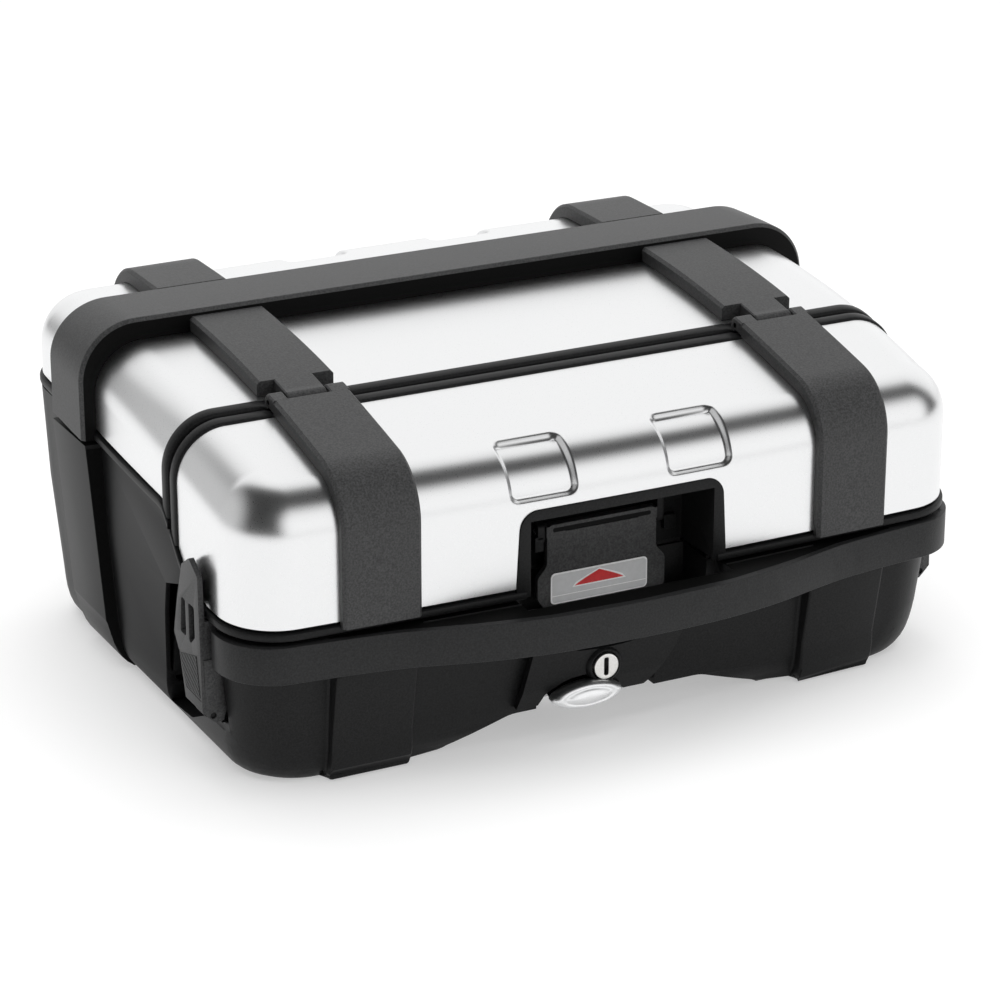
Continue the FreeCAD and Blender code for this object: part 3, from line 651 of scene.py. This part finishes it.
def build_bead(front, y0):
    """One of the two raised beads along the seam."""
    y_mid = y0 + 4.5
    path = across_path(COVER_FORM, y_mid, joint(y_mid) + 4.0)
    rings = []
    for (x, z), (nx, nz) in path:
        under = STRAP_IN - 1.2 < abs(x) < STRAP_OUT + 1.2 and nz > 0.9
        ring = []
        for d, h in BEAD:
            y = y0 + d if front else y0 + 9.0 - d
            h = min(h, -1.6) if under else h
            slope = (float(COVER_FORM.z(y)) - float(COVER_FORM.z(y_mid))) * nz
            ring.append((x + nx * h, y, z + nz * h + slope))
        rings.append(ring)
    bm = bmesh.new()
    loft(bm, rings)
    finish_mesh(bm)
    word, body = owner(front)
    piece_from(bm, word + "_seam_bead", body, "moulding", [body + "_frame"], 40)


build_bead(False, -66.0)
build_bead(True, -78.0)


# ---- straps and cross band -----------------------------------------------------------------
STRAP_OUTER, STRAP_INNER = Form(6.0, 10.0, 34.0), Form(0.2, 0.2)
FLAP_AXIS_Y, FLAP_AXIS_Z = -69.0, 216.5


def profile_yz(form, x, rear, z_low, crown_to):
    """Outline of the case in the plane at x, from the lower edge over the bend to crown_to."""
    y_wall = form.rear_y(x) if rear else form.front_y(x)
    sign = 1.0 if rear else -1.0
    zc, end = form.bend(np.array([x, y_wall]), np.array([0.0, sign]))
    zc, end = float(zc[0]), float(end[0])
    pts = [(y_wall, z) for z in np.linspace(z_low, zc, 9)[:-1]]
    for k in range(23):
        a = end * k / 22
        pts.append((y_wall - sign * form.r * (1 - math.cos(a)), zc + form.r * math.sin(a)))
    y_end = pts[-1][0]
    for y in np.linspace(y_end, crown_to, 15)[1:]:
        pts.append((y, float(form.z(y))))
    return np.array(pts)


def strap_rings(x0, x1, rear, z_low, crown_to):
    out0, out1 = (profile_yz(STRAP_OUTER, x, rear, z_low, crown_to) for x in (x0, x1))
    in0, in1 = (profile_yz(STRAP_INNER, x, rear, z_low, crown_to) for x in (x0, x1))
    return section_rings(x0, x1, out0, out1, in0, in1, 2.0)


def section_rings(x0, x1, out0, out1, in0, in1, chamfer):
    rings = []
    for o0, o1, i0, i1 in zip(out0, out1, in0, in1):
        w0 = chamfer / max(np.linalg.norm(o0 - i0), chamfer)
        w1 = chamfer / max(np.linalg.norm(o1 - i1), chamfer)
        low0, low1 = o0 + (i0 - o0) * w0, o1 + (i1 - o1) * w1
        ring = [(x0, *i0), (x0, *low0), (x0 + chamfer, *o0)]
        for t in (0.25, 0.5, 0.75):
            ring.append((x0 + chamfer + (x1 - x0 - 2 * chamfer) * t, *(o0 + (o1 - o0) * t)))
        ring += [(x1 - chamfer, *o1), (x1, *low1), (x1, *i1)]
        rings.append(ring)
    return rings


def flat_rings(x0, x1, top, bottom, chamfer):
    """Rings for a stretch whose upper and lower lines are given as (y, z) lists."""
    top, bottom = np.array(top), np.array(bottom)
    return section_rings(x0, x1, top, top, bottom, bottom, chamfer)


def nose(y0, forward, steps=9):
    """Upper and lower lines of a hinge end: from y0 along the strap top and round the pin."""
    r = 5.3
    sign = -1.0 if forward else 1.0
    ys = np.linspace(y0, FLAP_AXIS_Y, 5)
    top = [(y, float(STRAP_OUTER.z(y))) for y in ys]
    low = [(y, float(crown(y)) + 1.9) for y in ys]
    for k in range(1, steps + 1):
        a = math.pi / 2 * k / steps
        top.append((FLAP_AXIS_Y + sign * r * math.sin(a), FLAP_AXIS_Z + r * math.cos(a)))
        b = math.pi / 2 * (1 - 0.96 * k / steps)
        low.append((FLAP_AXIS_Y + sign * r * math.sin(math.pi / 2 - b) * 0.999,
                    FLAP_AXIS_Z - r * math.sin(b) * 0.86))
    return top, low


def strap_piece(node, ring_groups, body):
    bm = bmesh.new()
    for rings in ring_groups:
        loft(bm, rings)
    finish_mesh(bm)
    obj = piece_from(bm, node + "_finish", body, "grained", [node], 24)
    add_bevel(obj, 0.45, 2, 24)
    return obj


def build_straps(side, word):
    def ordered(a, b):
        return (a, b) if side > 0 else (-b, -a)

    full = ordered(STRAP_IN, STRAP_OUT)
    front = [strap_rings(*full, False, 106.8, -77.0)]
    for a, b in ((STRAP_IN, 151.5), (179.7, STRAP_OUT)):
        top, low = nose(-77.0, False)
        front.append(flat_rings(*ordered(a, b), top, low, 1.0))
    strap_piece("front_strap_" + word, front, "flap")
    ys = np.linspace(55.8, -52.0, 26)
    top = [(y, float(STRAP_OUTER.z(y))) for y in ys]
    low = [(y, float(STRAP_INNER.z(y))) for y in ys]
    tongue_top, tongue_low = nose(-51.5, True)
    middle = [flat_rings(*full, top, low, 2.0), flat_rings(*ordered(152.5, 178.7), tongue_top, tongue_low, 0.8)]
    strap_piece("mid_strap_" + word, middle, "rear_lid")
    rear = [strap_rings(*full, True, 177.8, 115.2)]
    strap_piece("rear_strap_" + word, rear, "rear_lid")


build_straps(1, "right")
build_straps(-1, "left")

BAND_FRONT, BAND_REAR = 56.0, 115.0
BAND_OUTER = Form(10.0, 14.0, 29.0)
BAND_DROP = 3.4        # how much lower the band's rear edge is than its front edge


def build_band():
    """The wide band across the lid: a swept section with chamfered edges and a slightly falling top."""
    stations = [(BAND_FRONT, None), (BAND_FRONT, 2.2), (BAND_FRONT + 2.2, 0.0), (BAND_FRONT + 20, -0.1),
                (BAND_FRONT + 40, 0.0), (BAND_REAR - 3.0, 0.0), (BAND_REAR, 2.6), (BAND_REAR, None)]
    lines = []
    for y, drop in stations:
        form = STRAP_INNER if drop is None else BAND_OUTER
        line = across_path(form, y, float(joint(y)) + 2.0)
        fall = 0.0 if drop is None else drop + (y - BAND_FRONT) / (BAND_REAR - BAND_FRONT) * BAND_DROP
        side_drop = 0.0 if drop is None else drop
        lines.append([(x - nx * side_drop, y, z - nz * fall) for (x, z), (nx, nz) in line])
    rings = [list(ring) for ring in zip(*lines)]
    bm = bmesh.new()
    loft(bm, rings)
    finish_mesh(bm)
    obj = piece_from(bm, "cross_band_finish", "rear_lid", "grained", ["cross_band"], 24)
    add_bevel(obj, 0.5, 2, 24)


build_band()


def build_band_step():
    """A thin plate of painted shade on the front face of the band's step, where shade falls; it is drawn darker than
    the band's moulding.
    """
    bm = bmesh.new()
    high = across_path(BAND_OUTER, BAND_FRONT, float(joint(BAND_FRONT)) + 2.0)
    low = across_path(STRAP_INNER, BAND_FRONT, float(joint(BAND_FRONT)) + 2.0)
    rings = []
    for ((xo, zo), (nx, nz)), ((xi, zi), _) in zip(high, low):
        top = (xo - nx * 2.4, zo - nz * 2.4)
        rings.append([(x, y, z) for (x, z), y in ((top, 55.72), (top, 55.95), ((xi, zi), 55.95), ((xi, zi), 55.72))])
    loft(bm, rings)
    finish_mesh(bm)
    piece_from(bm, "band_step_shade", "rear_lid", "painted_shade", [], 30)


build_band_step()


# ---- base, rim and small parts, from the CAD forms -----------------------------------------
def near(value, *places):
    return any(abs(value - p) < 0.08 for p in places)


RIM_LOW, RIM_TOP = 77.0, 101.0
RIM_LINE = [(218, -173.5), (192, -176.5), (153, -182.5), (111, -194), (64, -203), (0, -206)]


def shape_rim(bm):
    """Round the outer edges of the rim, top and bottom."""
    xs, ys = zip(*sorted(RIM_LINE))

    def outer(p):
        x = abs(p.x)
        return p.y < np.interp(x, xs, ys) + 2.5 if x < 218 else x > 244 or p.y < -152

    round_edges(bm, lambda p, q: near(p.z, RIM_TOP) and near(q.z, RIM_TOP) and outer(p) and outer(q), 2.2)
    round_edges(bm, lambda p, q: near(p.z, RIM_LOW) and near(q.z, RIM_LOW) and outer(p) and outer(q), 2.6)


def combine(bm, operation, rings):
    """Adds or cuts the closed form lofted over the rings."""
    body, tool = (linked(n, bpy.data.meshes.new(n)) for n in ("body", "tool"))
    bm.to_mesh(body.data)
    other = bmesh.new()
    loft(other, rings)
    finish_mesh(other)
    other.to_mesh(tool.data)
    other.free()
    mod = body.modifiers.new("combine", "BOOLEAN")
    mod.operation, mod.solver, mod.object = operation, "EXACT", tool
    result = bpy.data.meshes.new_from_object(body.evaluated_get(bpy.context.evaluated_depsgraph_get()))
    bm.clear()
    bm.from_mesh(result)
    for obj in (body, tool):
        mesh = obj.data
        bpy.data.objects.remove(obj)
        bpy.data.meshes.remove(mesh)
    bpy.data.meshes.remove(result)


CHANNEL = [(-126.9, 110), (-126.9, 36), (-104, 34), (-62, 14), (-20, 8), (-26, 32), (-31, 56), (-36, 78),
           (-44, 100), (-77, 111)]    # y, z


FOOT_Z = (0.0, 2.0, 5.0, 9.0, 14.0, 20.0, 27.0, 34.0)       # heights of the lower taper
FOOT_OUT = (0.8, 4.2, 6.2, 7.2, 6.9, 5.4, 2.9, 0.0)         # how far it is moved out there


def base_distance(x, y, z):
    """Distance outside the base's straight lower taper, and the way out, seen from above."""
    t = z / FOOT_Z[-1]
    half, front, rear, r = 230 + 16 * t, -146 - 11 * t, 184 + 6 * t, 34 + 4 * t
    cy = (front + rear) / 2
    qx, qy = abs(x) - (half - r), abs(y - cy) - ((rear - front) / 2 - r)
    if qx > 0 and qy > 0:
        length = math.hypot(qx, qy)
        way = (qx / length, qy / length)
    else:
        length, way = (qx, (1.0, 0.0)) if qx > qy else (qy, (0.0, 1.0))
    return length - r, math.copysign(way[0], x), math.copysign(way[1], y - cy)


def swell_foot(bm):
    """Turns the straight taper above the ground into a rounder edge."""
    for level in FOOT_Z[1:-1]:
        split_at(bm, (0, 0, level * MM), (0, 0, 1), dist=1e-6)
    for v in bm.verts:
        p = v.co / MM
        if p.z < FOOT_Z[-1] - 0.1:
            distance, gx, gy = base_distance(*p)
            if distance > -0.3:
                out = np.interp(p.z, FOOT_Z, FOOT_OUT) * (gx * gx + 0.55 * gy * gy)
                v.co.x += gx * out * MM
                v.co.y += gy * out * MM


def shape_base(bm):
    """Deeper lever channels, and rounder ribs and lower edges."""
    lining = [(-129.9, 114), (-129.9, 33), (-80, 27), (-22, 27), (-28, 56), (-33, 80), (-41, 103), (-74, 114)]
    for side in (1, -1):
        combine(bm, "UNION", [[(side * x, y, z) for y, z in lining] for x in (225.5, 241.2)])
        combine(bm, "DIFFERENCE", [[(side * x, y, z) for y, z in CHANNEL] for x in (229.0, 275.0)])
    bmesh.ops.remove_doubles(bm, verts=bm.verts, dist=2e-6)
    bmesh.ops.dissolve_limit(bm, angle_limit=math.radians(0.4), verts=bm.verts, edges=bm.edges)
    swell_foot(bm)
    ribs = (STRAP_IN, STRAP_OUT + 3)
    round_edges(bm, lambda p, q: near(abs(p.x), *ribs) and near(abs(q.x), *ribs) and max(p.y, q.y) < -140, 2.2)
    round_edges(bm, lambda p, q: near(p.y, BAND_FRONT, BAND_REAR) and near(q.y, BAND_FRONT, BAND_REAR)
                and min(abs(p.x), abs(q.x)) > 228, 2.0)


def shape_bracket(bm):
    for v in bm.verts:
        p = v.co / MM
        if near(abs(p.x), 244.2):
            v.co.x -= math.copysign(14.8 * MM, p.x)


def shape_housing(bm):
    """Removes the part that would hang below the arch."""
    split_at(bm, (0, 0, 21 * MM), (0, 0, -1), clear_outer=True)
    bmesh.ops.holes_fill(bm, edges=[e for e in bm.edges if len(e.link_faces) == 1], sides=0)


# node, or a right and left pair: look, width of the edge rounding, change of shape
FINISH = {
    "base_shell": ("moulding", 0.8, shape_base), "base_rim": ("rim", 0.8, shape_rim),
    # lock_housing is drawn in the near-black shade material, darker than its moulding, as painted shade inside the
    # lock
    "base_seal": ("rubber", 0.3), "lock_housing": ("painted_shade", 0.4, shape_housing),
    "lock_cam": ("steel", 0.3), "release_hook": ("steel", 0.5), "release_hook_pin": ("steel", 0.3),
    "mounting_plate": ("moulding", 0.5), "hook_bracket": ("steel", 0.4),
    "striker": ("steel", 0.4), "plate_screws": ("steel", 0.3), "hinge_screws": ("steel", 0.3),
    "hinge_base": ("moulding", 0.5), "hinge_lid": ("moulding", 0.4), "hinge_pin": ("steel", 0.3),
    "strap_pin": ("steel", 0.3), "seam_seal": ("rubber", 0.3), "handle_recess": ("moulding", 0.8),
    "latch_pin": ("steel", 0.3), "flap_seal": ("rubber", 0.3), "latch_plate": ("grained", 0.7),
    "latch_hook": ("steel", 0.4), "floor_mat": ("mat_rubber", 0.4), "side_lever": ("grained", 0.8),
    "lever_pin": ("moulding", 0.3), "lever_bracket": ("moulding", 0.4, shape_bracket),
}
for stem, (key, width, *shape) in FINISH.items():
    for node_name in (stem,) if stem in frame["nodes"] else (stem + "_right", stem + "_left"):
        soften(node_name, key, width, shape=shape[0] if shape else None)


# ---- lock and release button ---------------------------------------------------------------
LOCK_X, LOCK_Z = -7.3, 43.7
BUTTON_X, BUTTON_Z = -21.0, 27.6
RING_STEPS, LENS_POWER = 72, 2 / 1.85


def front_face(z):
    """y of the base's front face, 5 mm out, at a height."""
    return -162 - 0.106 * (z - 34) if z > 34 else -162 + 0.3235 * (34 - z)


def turned(*stations):
    """Rings about the lock's axis: stations are (y, radius)."""
    angles = [2 * math.pi * k / RING_STEPS for k in range(RING_STEPS)]
    return [[(LOCK_X + r * math.cos(a), y, LOCK_Z + r * math.sin(a)) for a in angles] for y, r in stations]


def lens(y, half_x, half_z):
    """Ring of the button: a superellipse, a little more pointed than an ellipse."""
    ring = []
    for k in range(RING_STEPS):
        a = 2 * math.pi * k / RING_STEPS
        c, s = math.cos(a), math.sin(a)
        ring.append((BUTTON_X + half_x * math.copysign(abs(c) ** LENS_POWER, c), y,
                     BUTTON_Z + half_z * math.copysign(abs(s) ** LENS_POWER, s)))
    return ring


def ring_piece(name, rings, body, key, nodes, angle, slot=None):
    bm = bmesh.new()
    loft(bm, rings)
    finish_mesh(bm)
    piece_from(bm, name, body, key, nodes, angle, slot)


def slot_ring(y, half_x, half_z):
    """A rounded upright slot, its points spread by angle so that it lofts to a circle."""
    r = 0.8
    ring = []
    for k in range(RING_STEPS):
        a = 2 * math.pi * (k + 0.5) / RING_STEPS
        c, s = math.cos(a), math.sin(a)
        t = min(half_x / max(abs(c), 1e-6), half_z / max(abs(s), 1e-6))
        x, z = c * t, s * t
        cx, cz = half_x - r, half_z - r
        if abs(x) > cx and abs(z) > cz:
            d = math.hypot(abs(x) - cx, abs(z) - cz)
            x = math.copysign(cx + (abs(x) - cx) / d * r, x)
            z = math.copysign(cz + (abs(z) - cz) / d * r, z)
        ring.append((LOCK_X + x, y, LOCK_Z + z))
    return ring


def build_lock():
    discs = turned((-122.0, 7.4), (-160.0, 7.4), (-160.0, 8.6), (-167.6, 8.6), (-168.2, 8.3), (-168.4, 7.8),
                   (-168.4, 7.2))
    half = math.pi / RING_STEPS
    for ring in discs:
        for k, (x, y, z) in enumerate(ring):
            a = math.atan2(z - LOCK_Z, x - LOCK_X) + half
            r = math.hypot(x - LOCK_X, z - LOCK_Z)
            ring[k] = (LOCK_X + r * math.cos(a), y, LOCK_Z + r * math.sin(a))
    face = discs + [slot_ring(-168.3, 1.9, 6.1), slot_ring(-168.0, 1.6, 5.8), slot_ring(-163.0, 1.6, 5.8)]
    ring_piece("key_cylinder_finish", face, "key", "nickel", ["key_cylinder"], 30)
    # the floor of the key slot is a plate of painted shade, darker than the nickel it stands for
    bottom = [slot_ring(-163.2, 1.55, 5.75), slot_ring(-163.6, 1.55, 5.75)]
    ring_piece("key_slot_shade", bottom, "key", "painted_shade", [], 35, "nickel")


def build_button():
    silver = ((-163.0, 22.5, 6.6), (-163.0, 24.4, 8.6), (-167.6, 24.7, 8.9), (-169.6, 24.1, 8.5), (-171.0, 22.4, 7.7),
              (-171.9, 20.2, 6.8), (-172.1, 18.6, 6.1), (-171.7, 17.2, 5.6), (-171.8, 16.0, 5.1), (-172.6, 14.0, 4.4),
              (-173.3, 11.0, 3.4), (-173.8, 7.0, 2.1), (-173.95, 2.0, 0.6))
    shell = ((-146.0, 20.0, 5.0), (-156.0, 22.0, 6.0), (-163.4, 23.8, 6.7), (-163.4, 20.0, 5.0))
    ring_piece("release_button_finish", [lens(*size) for size in silver], "button", "button", ["release_button"], 50)
    # the shell round the button is drawn darker than its moulding: it shows as a thin ring of painted shade in the gap
    # round the button
    ring_piece("release_shell_shade", [lens(*size) for size in shell], "button", "painted_shade", [], 50)


def build_trim():
    """The shield round the lock: follows the base's face, with its lower edge arched over the button."""
    cols, rows = 72, 20
    right = [(24.5, 0.0), (28.6, 0.09), (35.9, 0.33), (43.0, 0.60), (50.0, 1.0)]
    rx, rv = zip(*right)

    def low(x):
        return float(np.interp(abs(x - BUTTON_X), [0, 8, 14, 19, 23, 26.3, 28.6, 30],
                               [38.8, 38.2, 36.6, 34.3, 31.7, 29.4, 24.5, 22]))

    def top(x):
        return float(np.interp(x, [-57, -37, -31, -25, -9.4, 5, 19.7, 25, 50],
                               [62, 60.8, 58.9, 56.6, 55.2, 55.6, 57.0, 58.8, 60]))

    bm = bmesh.new()
    grid = []
    for j in range(rows + 1):
        v = j / rows
        left_x, right_x = -66 + 9 * v, float(np.interp(v, rv, rx))
        line = []
        for i in range(cols + 1):
            x = left_x + (right_x - left_x) * i / cols
            z = low(x) + (top(x) - low(x)) * v
            line.append(bm.verts.new((x * MM, (front_face(z) - 1.0) * MM, z * MM)))
        grid.append(line)
    for j in range(rows):
        for i in range(cols):
            bm.faces.new((grid[j][i], grid[j][i + 1], grid[j + 1][i + 1], grid[j + 1][i]))
    obj = piece_from(bm, "lock_trim_finish", "base", "moulding", ["lock_trim"], 40)
    add_sheet(obj, 4.5)
    add_bevel(obj, 0.9, 3, 40)
    boss = turned((-158.0, 13.0), (-163.5, 12.6), (-165.4, 12.0), (-166.6, 11.2), (-167.1, 10.6), (-167.2, 10.2),
                  (-166.8, 9.5), (-166.0, 9.1), (-159.0, 9.0))
    ring_piece("lock_boss", boss, "base", "moulding", [], 40)


build_lock()
build_button()
build_trim()


# ---- latch label, lever details, and plates of painted shade and painted highlight ---------
LATCH_FACE = -147.0


def rounded_corners(points, steps=7):
    out = []
    n = len(points)
    for i, (x, z, r) in enumerate(points):
        here = np.array([x, z], float)
        a = np.array(points[i - 1][:2]) - here
        b = np.array(points[(i + 1) % n][:2]) - here
        a, b = a / np.linalg.norm(a), b / np.linalg.norm(b)
        if r <= 0:
            out.append(tuple(here))
            continue
        half = math.acos(np.clip(a @ b, -1, 1)) / 2
        mid = here + (a + b) / np.linalg.norm(a + b) * r / math.sin(half)
        p, q = here + a * r / math.tan(half), here + b * r / math.tan(half)
        u, w = p - mid, q - mid
        start = math.atan2(u[1], u[0])
        sweep = (math.atan2(w[1], w[0]) - start + math.pi) % (2 * math.pi) - math.pi
        for k in range(steps + 1):
            ang = start + sweep * k / steps
            out.append((mid[0] + r * math.cos(ang), mid[1] + r * math.sin(ang)))
    return out


def plate_piece(name, outline, place, base, height, body, key, nodes=(), bevel=0.0, slot=None):
    """A flat plate: outline in its own plane, raised from base by height."""
    bm = bmesh.new()
    rings = [[place(a, b, h) for a, b in outline] for h in (base, base + height)]
    loft(bm, rings)
    finish_mesh(bm)
    obj = piece_from(bm, name, body, key, nodes, 30, slot)
    if bevel:
        add_bevel(obj, bevel, 2, 40)
    return obj


def on_latch(x, z, h):
    return (x, LATCH_FACE - h, z)


def bowed(points_x, z0, z1, grow=0.0):
    """Arrow outline: flat foot and two bulging flanks that meet in a blunt point."""
    left, right = points_x
    mid = (left + right) / 2
    out = [(right + grow * 1.9, z0 - grow), ]
    for k in range(1, 20):
        t = k / 20
        x = right + (left - right) * t
        rise = 1 - abs(2 * t - 1)
        out.append((mid + (x - mid) * (1 + 1.2 * grow / (right - mid)),
                    z0 + (z1 - z0) * (rise ** 0.86) + grow * (1.0 if 0.02 < t < 0.98 else 0)))
    out.append((left - grow * 1.9, z0 - grow))
    return out


def build_label():
    outline = rounded_corners([(-36.2, 82.8, 3), (32.2, 82.8, 3), (32.2, 103.6, 3), (-36.2, 103.6, 3)])
    inner = rounded_corners([(-35.2, 83.8, 2.4), (31.2, 83.8, 2.4), (31.2, 102.6, 2.4), (-35.2, 102.6, 2.4)])
    plate_piece("label_edge", outline, on_latch, 0.0, 0.70, "latch", "white", [], 0.25)
    plate_piece("latch_label_finish", inner, on_latch, 0.1, 0.70, "latch", "label", ["latch_label"])
    line = [(-35.0, 88.1), (31.0, 88.1), (31.0, 88.6), (-35.0, 88.6)]
    plate_piece("label_line", line, on_latch, 0.7, 0.16, "latch", "white")
    plate_piece("arrow_edge", bowed((-19.5, 15.1), 93.2, 101.2, 0.9), on_latch, 0.7, 0.2, "latch", "white")
    plate_piece("latch_arrow_finish", bowed((-19.5, 15.1), 93.2, 101.2), on_latch, 0.8, 0.25, "latch", "red",
                ["latch_arrow"])
    # the groove across the latch is a thin plate of painted shade, not a cut into the latch
    groove = rounded_corners([(-34.5, 131.0, 1.1), (34.5, 131.0, 1.1), (34.5, 133.8, 1.1), (-34.5, 133.8, 1.1)], 4)
    plate_piece("latch_groove_shade", groove, on_latch, -0.5, 0.56, "latch", "painted_shade", slot=SLOT["grained"])


def clip(poly, inside, cross):
    out = []
    for p, q in zip(poly, poly[1:] + poly[:1]):
        if inside(p):
            out.append(p)
        if inside(p) != inside(q):
            out.append(cross(p, q))
    return out


def clipped_strip(region, origin, direction, half):
    """The part of a convex region within a strip about a line."""
    normal = (-direction[1], direction[0])
    poly = list(region)
    for sign in (1, -1):
        def dist(p, s=sign):
            return half - s * ((p[0] - origin[0]) * normal[0] + (p[1] - origin[1]) * normal[1])

        def cross(p, q):
            t = dist(p) / (dist(p) - dist(q))
            return (p[0] + (q[0] - p[0]) * t, p[1] + (q[1] - p[1]) * t)

        poly = clip(poly, lambda p: dist(p) > 0, cross)
        if len(poly) < 3:
            return []
    return poly


def build_lever_details(side, word):
    body = "lever_" + word
    out = 261.0

    def on_lever(y, z, h):
        return (side * (out + h), y, z)

    region = [(-90.8, 73.5), (-100.0, 54.6), (-121.0, 54.6), (-116.8, 81.0)]
    direction = (-0.55, 0.835)
    bm = bmesh.new()
    for k in range(-10, 13):
        origin = (-106 + k * 2.1, 66.0)
        poly = clipped_strip(region, origin, direction, 0.52)
        if poly:
            loft(bm, [[on_lever(y, z, h) for y, z in poly] for h in (-0.2, 0.45)])
    finish_mesh(bm)
    piece_from(bm, "lever_grip_" + word + "_finish", body, "grained", ["lever_grip_" + word], 30)
    # the plate under the hatch strips and the lines along the hatch's side and foot are painted shade, darker than the
    # lever's grained moulding
    plate_piece("lever_hatch_shade_" + word, region, on_lever, -0.3, 0.36, body, "painted_shade", slot=SLOT["grained"])
    for name, line in (("side", [(-88.6, 74.6), (-98.6, 53.4), (-99.2, 53.8), (-89.4, 74.6)]),
                       ("foot", [(-98.6, 53.4), (-122.2, 52.6), (-122.2, 53.3), (-99.2, 54.0)])):
        plate_piece("lever_shade_line_" + name + "_" + word, line, on_lever, -0.2, 0.26, body, "painted_shade",
                    slot=SLOT["grained"])


def block(bm, x0, x1, y0, y1, z0, z1):
    loft(bm, [[(x0, y, z0), (x1, y, z0), (x1, y, z1), (x0, y, z1)] for y in (y0, y1)])


def build_recess_tabs():
    bm = bmesh.new()
    block(bm, -46.5, -40.2, -146, -136, 119, 129)
    block(bm, 39.7, 44.5, -146, -136, 134.5, 142)
    block(bm, 49.6, 58.1, -137.5, -133.5, 114.5, 124.2)
    finish_mesh(bm)
    obj = piece_from(bm, "recess_tabs", "flap", "moulding", [], 30)
    add_bevel(obj, 0.6, 2, 40)


def build_shade_and_highlight_plates():
    """Plates of painted shade for the gap behind the rim's front edge and on the front faces of the side ribs, and two
    ridges in the rim's lighter tone as a painted highlight on the ledge's edge.
    """
    def on_rim(x, y, h):
        return (x, y, RIM_TOP + h)

    def on_rib(x, z, h):
        return (x, BAND_FRONT - h, z)

    xs, ys = zip(*sorted(RIM_LINE))
    notch, end = 72.0, 197
    # no gap is cut behind the rim's front edge: these flat plates of painted shade lie on the rim's top
    for word, start, stop, back in (("left", -end, -notch, -169), ("middle", -notch, notch, -187),
                                    ("right", notch, end, -169)):
        outline = [(x, float(np.interp(abs(x), xs, ys)) + 4.5) for x in np.linspace(start, stop, 15)]
        plate_piece("rim_gap_shade_" + word, outline + [(stop, back), (start, back)], on_rim, -0.2, 0.35, "base", "painted_shade")
    ridge = [(72, -178.2), (137, -175.6), (137, -174.9), (72, -177.5)]
    rib = [(263.4, 156.5), (254.6, 36), (250.2, 20), (243, 7), (237, 1.5), (235, 1.5), (241, 9), (244.6, 20),
           (246.6, 34), (251.4, 100), (253.2, 156)]
    for side, word in ((1, "right"), (-1, "left")):
        # the ridge is a strip in the rim's lighter tone inside the painted gap: a painted highlight on the ledge's
        # edge
        plate_piece("rim_highlight_ridge_" + word, [(side * x, y) for x, y in ridge], on_rim, 0.1, 0.8, "base", "rim")
        # the rib step is a plate of painted shade on the rib's front face, darker than the rib's moulding
        plate_piece("rib_step_shade_" + word, [(side * x, z) for x, z in rib], on_rib, -0.1, 0.32, "base", "painted_shade")


build_shade_and_highlight_plates()
build_recess_tabs()
build_label()
build_lever_details(1, "right")
build_lever_details(-1, "left")


# ---- floor, light, camera ------------------------------------------------------------------
def studio():
    bm = bmesh.new()
    bmesh.ops.create_grid(bm, x_segments=4, y_segments=4, size=30.0)
    mesh = bpy.data.meshes.new("floor")
    bm.to_mesh(mesh)
    bm.free()
    floor = linked("floor", mesh)
    floor.location.z = -0.2 * MM
    mat, nodes, links, bsdf = new_material("floor_white")
    tone = position_noise(nodes, links, 2.0, 2.0)
    links.new(ramp(nodes, links, tone, [(0.3, (0.61, 0.61, 0.61)), (0.7, (0.62, 0.62, 0.62))]),
              bsdf.inputs["Base Color"])
    bsdf.inputs["Roughness"].default_value = 0.9
    bsdf.inputs["Specular IOR Level"].default_value = 0.1
    bsdf.inputs["Emission Color"].default_value = grey(1.0)
    bsdf.inputs["Emission Strength"].default_value = 0.42
    mesh.materials.append(mat)


def area(name, place, aim, size, power):
    data = bpy.data.lights.new(name, "AREA")
    data.shape = "RECTANGLE"
    data.size = size
    data.size_y = size
    data.energy = power
    obj = linked(name, data)
    obj.location = place
    obj.rotation_mode = "QUATERNION"
    obj.rotation_quaternion = (Vector(aim) - Vector(place)).to_track_quat("-Z", "Y")
    return obj


def world():
    """Soft studio: a bright sky behind the object, a bright panel low in front of it, dim between."""
    w = bpy.data.worlds.new("studio")
    bpy.context.scene.world = w
    w.use_nodes = True
    nodes, links = w.node_tree.nodes, w.node_tree.links
    back = nodes["Background"]
    coords = nodes.new("ShaderNodeTexCoord")

    def glow(direction, stops):
        dot = nodes.new("ShaderNodeVectorMath")
        dot.operation = "DOT_PRODUCT"
        dot.inputs[1].default_value = direction
        links.new(coords.outputs["Generated"], dot.inputs[0])
        return ramp(nodes, links, dot.outputs["Value"], stops)

    sky = glow((0.55, 0.75, 0.36), [(0.34, grey(0.04)), (0.52, grey(0.06)), (0.66, grey(1.05)), (0.85, grey(1.15))])
    panel = glow((0.43, -0.86, 0.26), [(0.77, grey(0.0)), (0.93, grey(1.14))])
    side = glow((-0.85, 0.45, 0.25), [(0.66, grey(0.0)), (0.92, grey(0.62))])
    total = sky
    for part in (panel, side):
        add = nodes.new("ShaderNodeMix")
        add.data_type = "RGBA"
        add.blend_type = "ADD"
        add.inputs["Factor"].default_value = 1.0
        links.new(total, add.inputs["A"])
        links.new(part, add.inputs["B"])
        total = add.outputs["Result"]
    links.new(total, back.inputs["Color"])
    back.inputs["Strength"].default_value = 1.0


studio()
world()
area("overhead", (-0.2, -0.1, 3.4), (0.0, 0.0, 0.0), 4.4, 128.0).visible_glossy = False

camera_data = bpy.data.cameras.new("camera")
camera_data.sensor_width = 36.0
camera_data.lens = 127.15
camera_data.clip_start = 0.05
camera_data.clip_end = 100.0
camera = linked("camera", camera_data)
camera.location = (-0.9769, -1.9389, 0.9438)
camera.rotation_euler = (math.radians(68.654), 0.0, math.radians(-26.813))
bpy.context.scene.camera = camera
bpy.context.scene.view_settings.view_transform = "Standard"
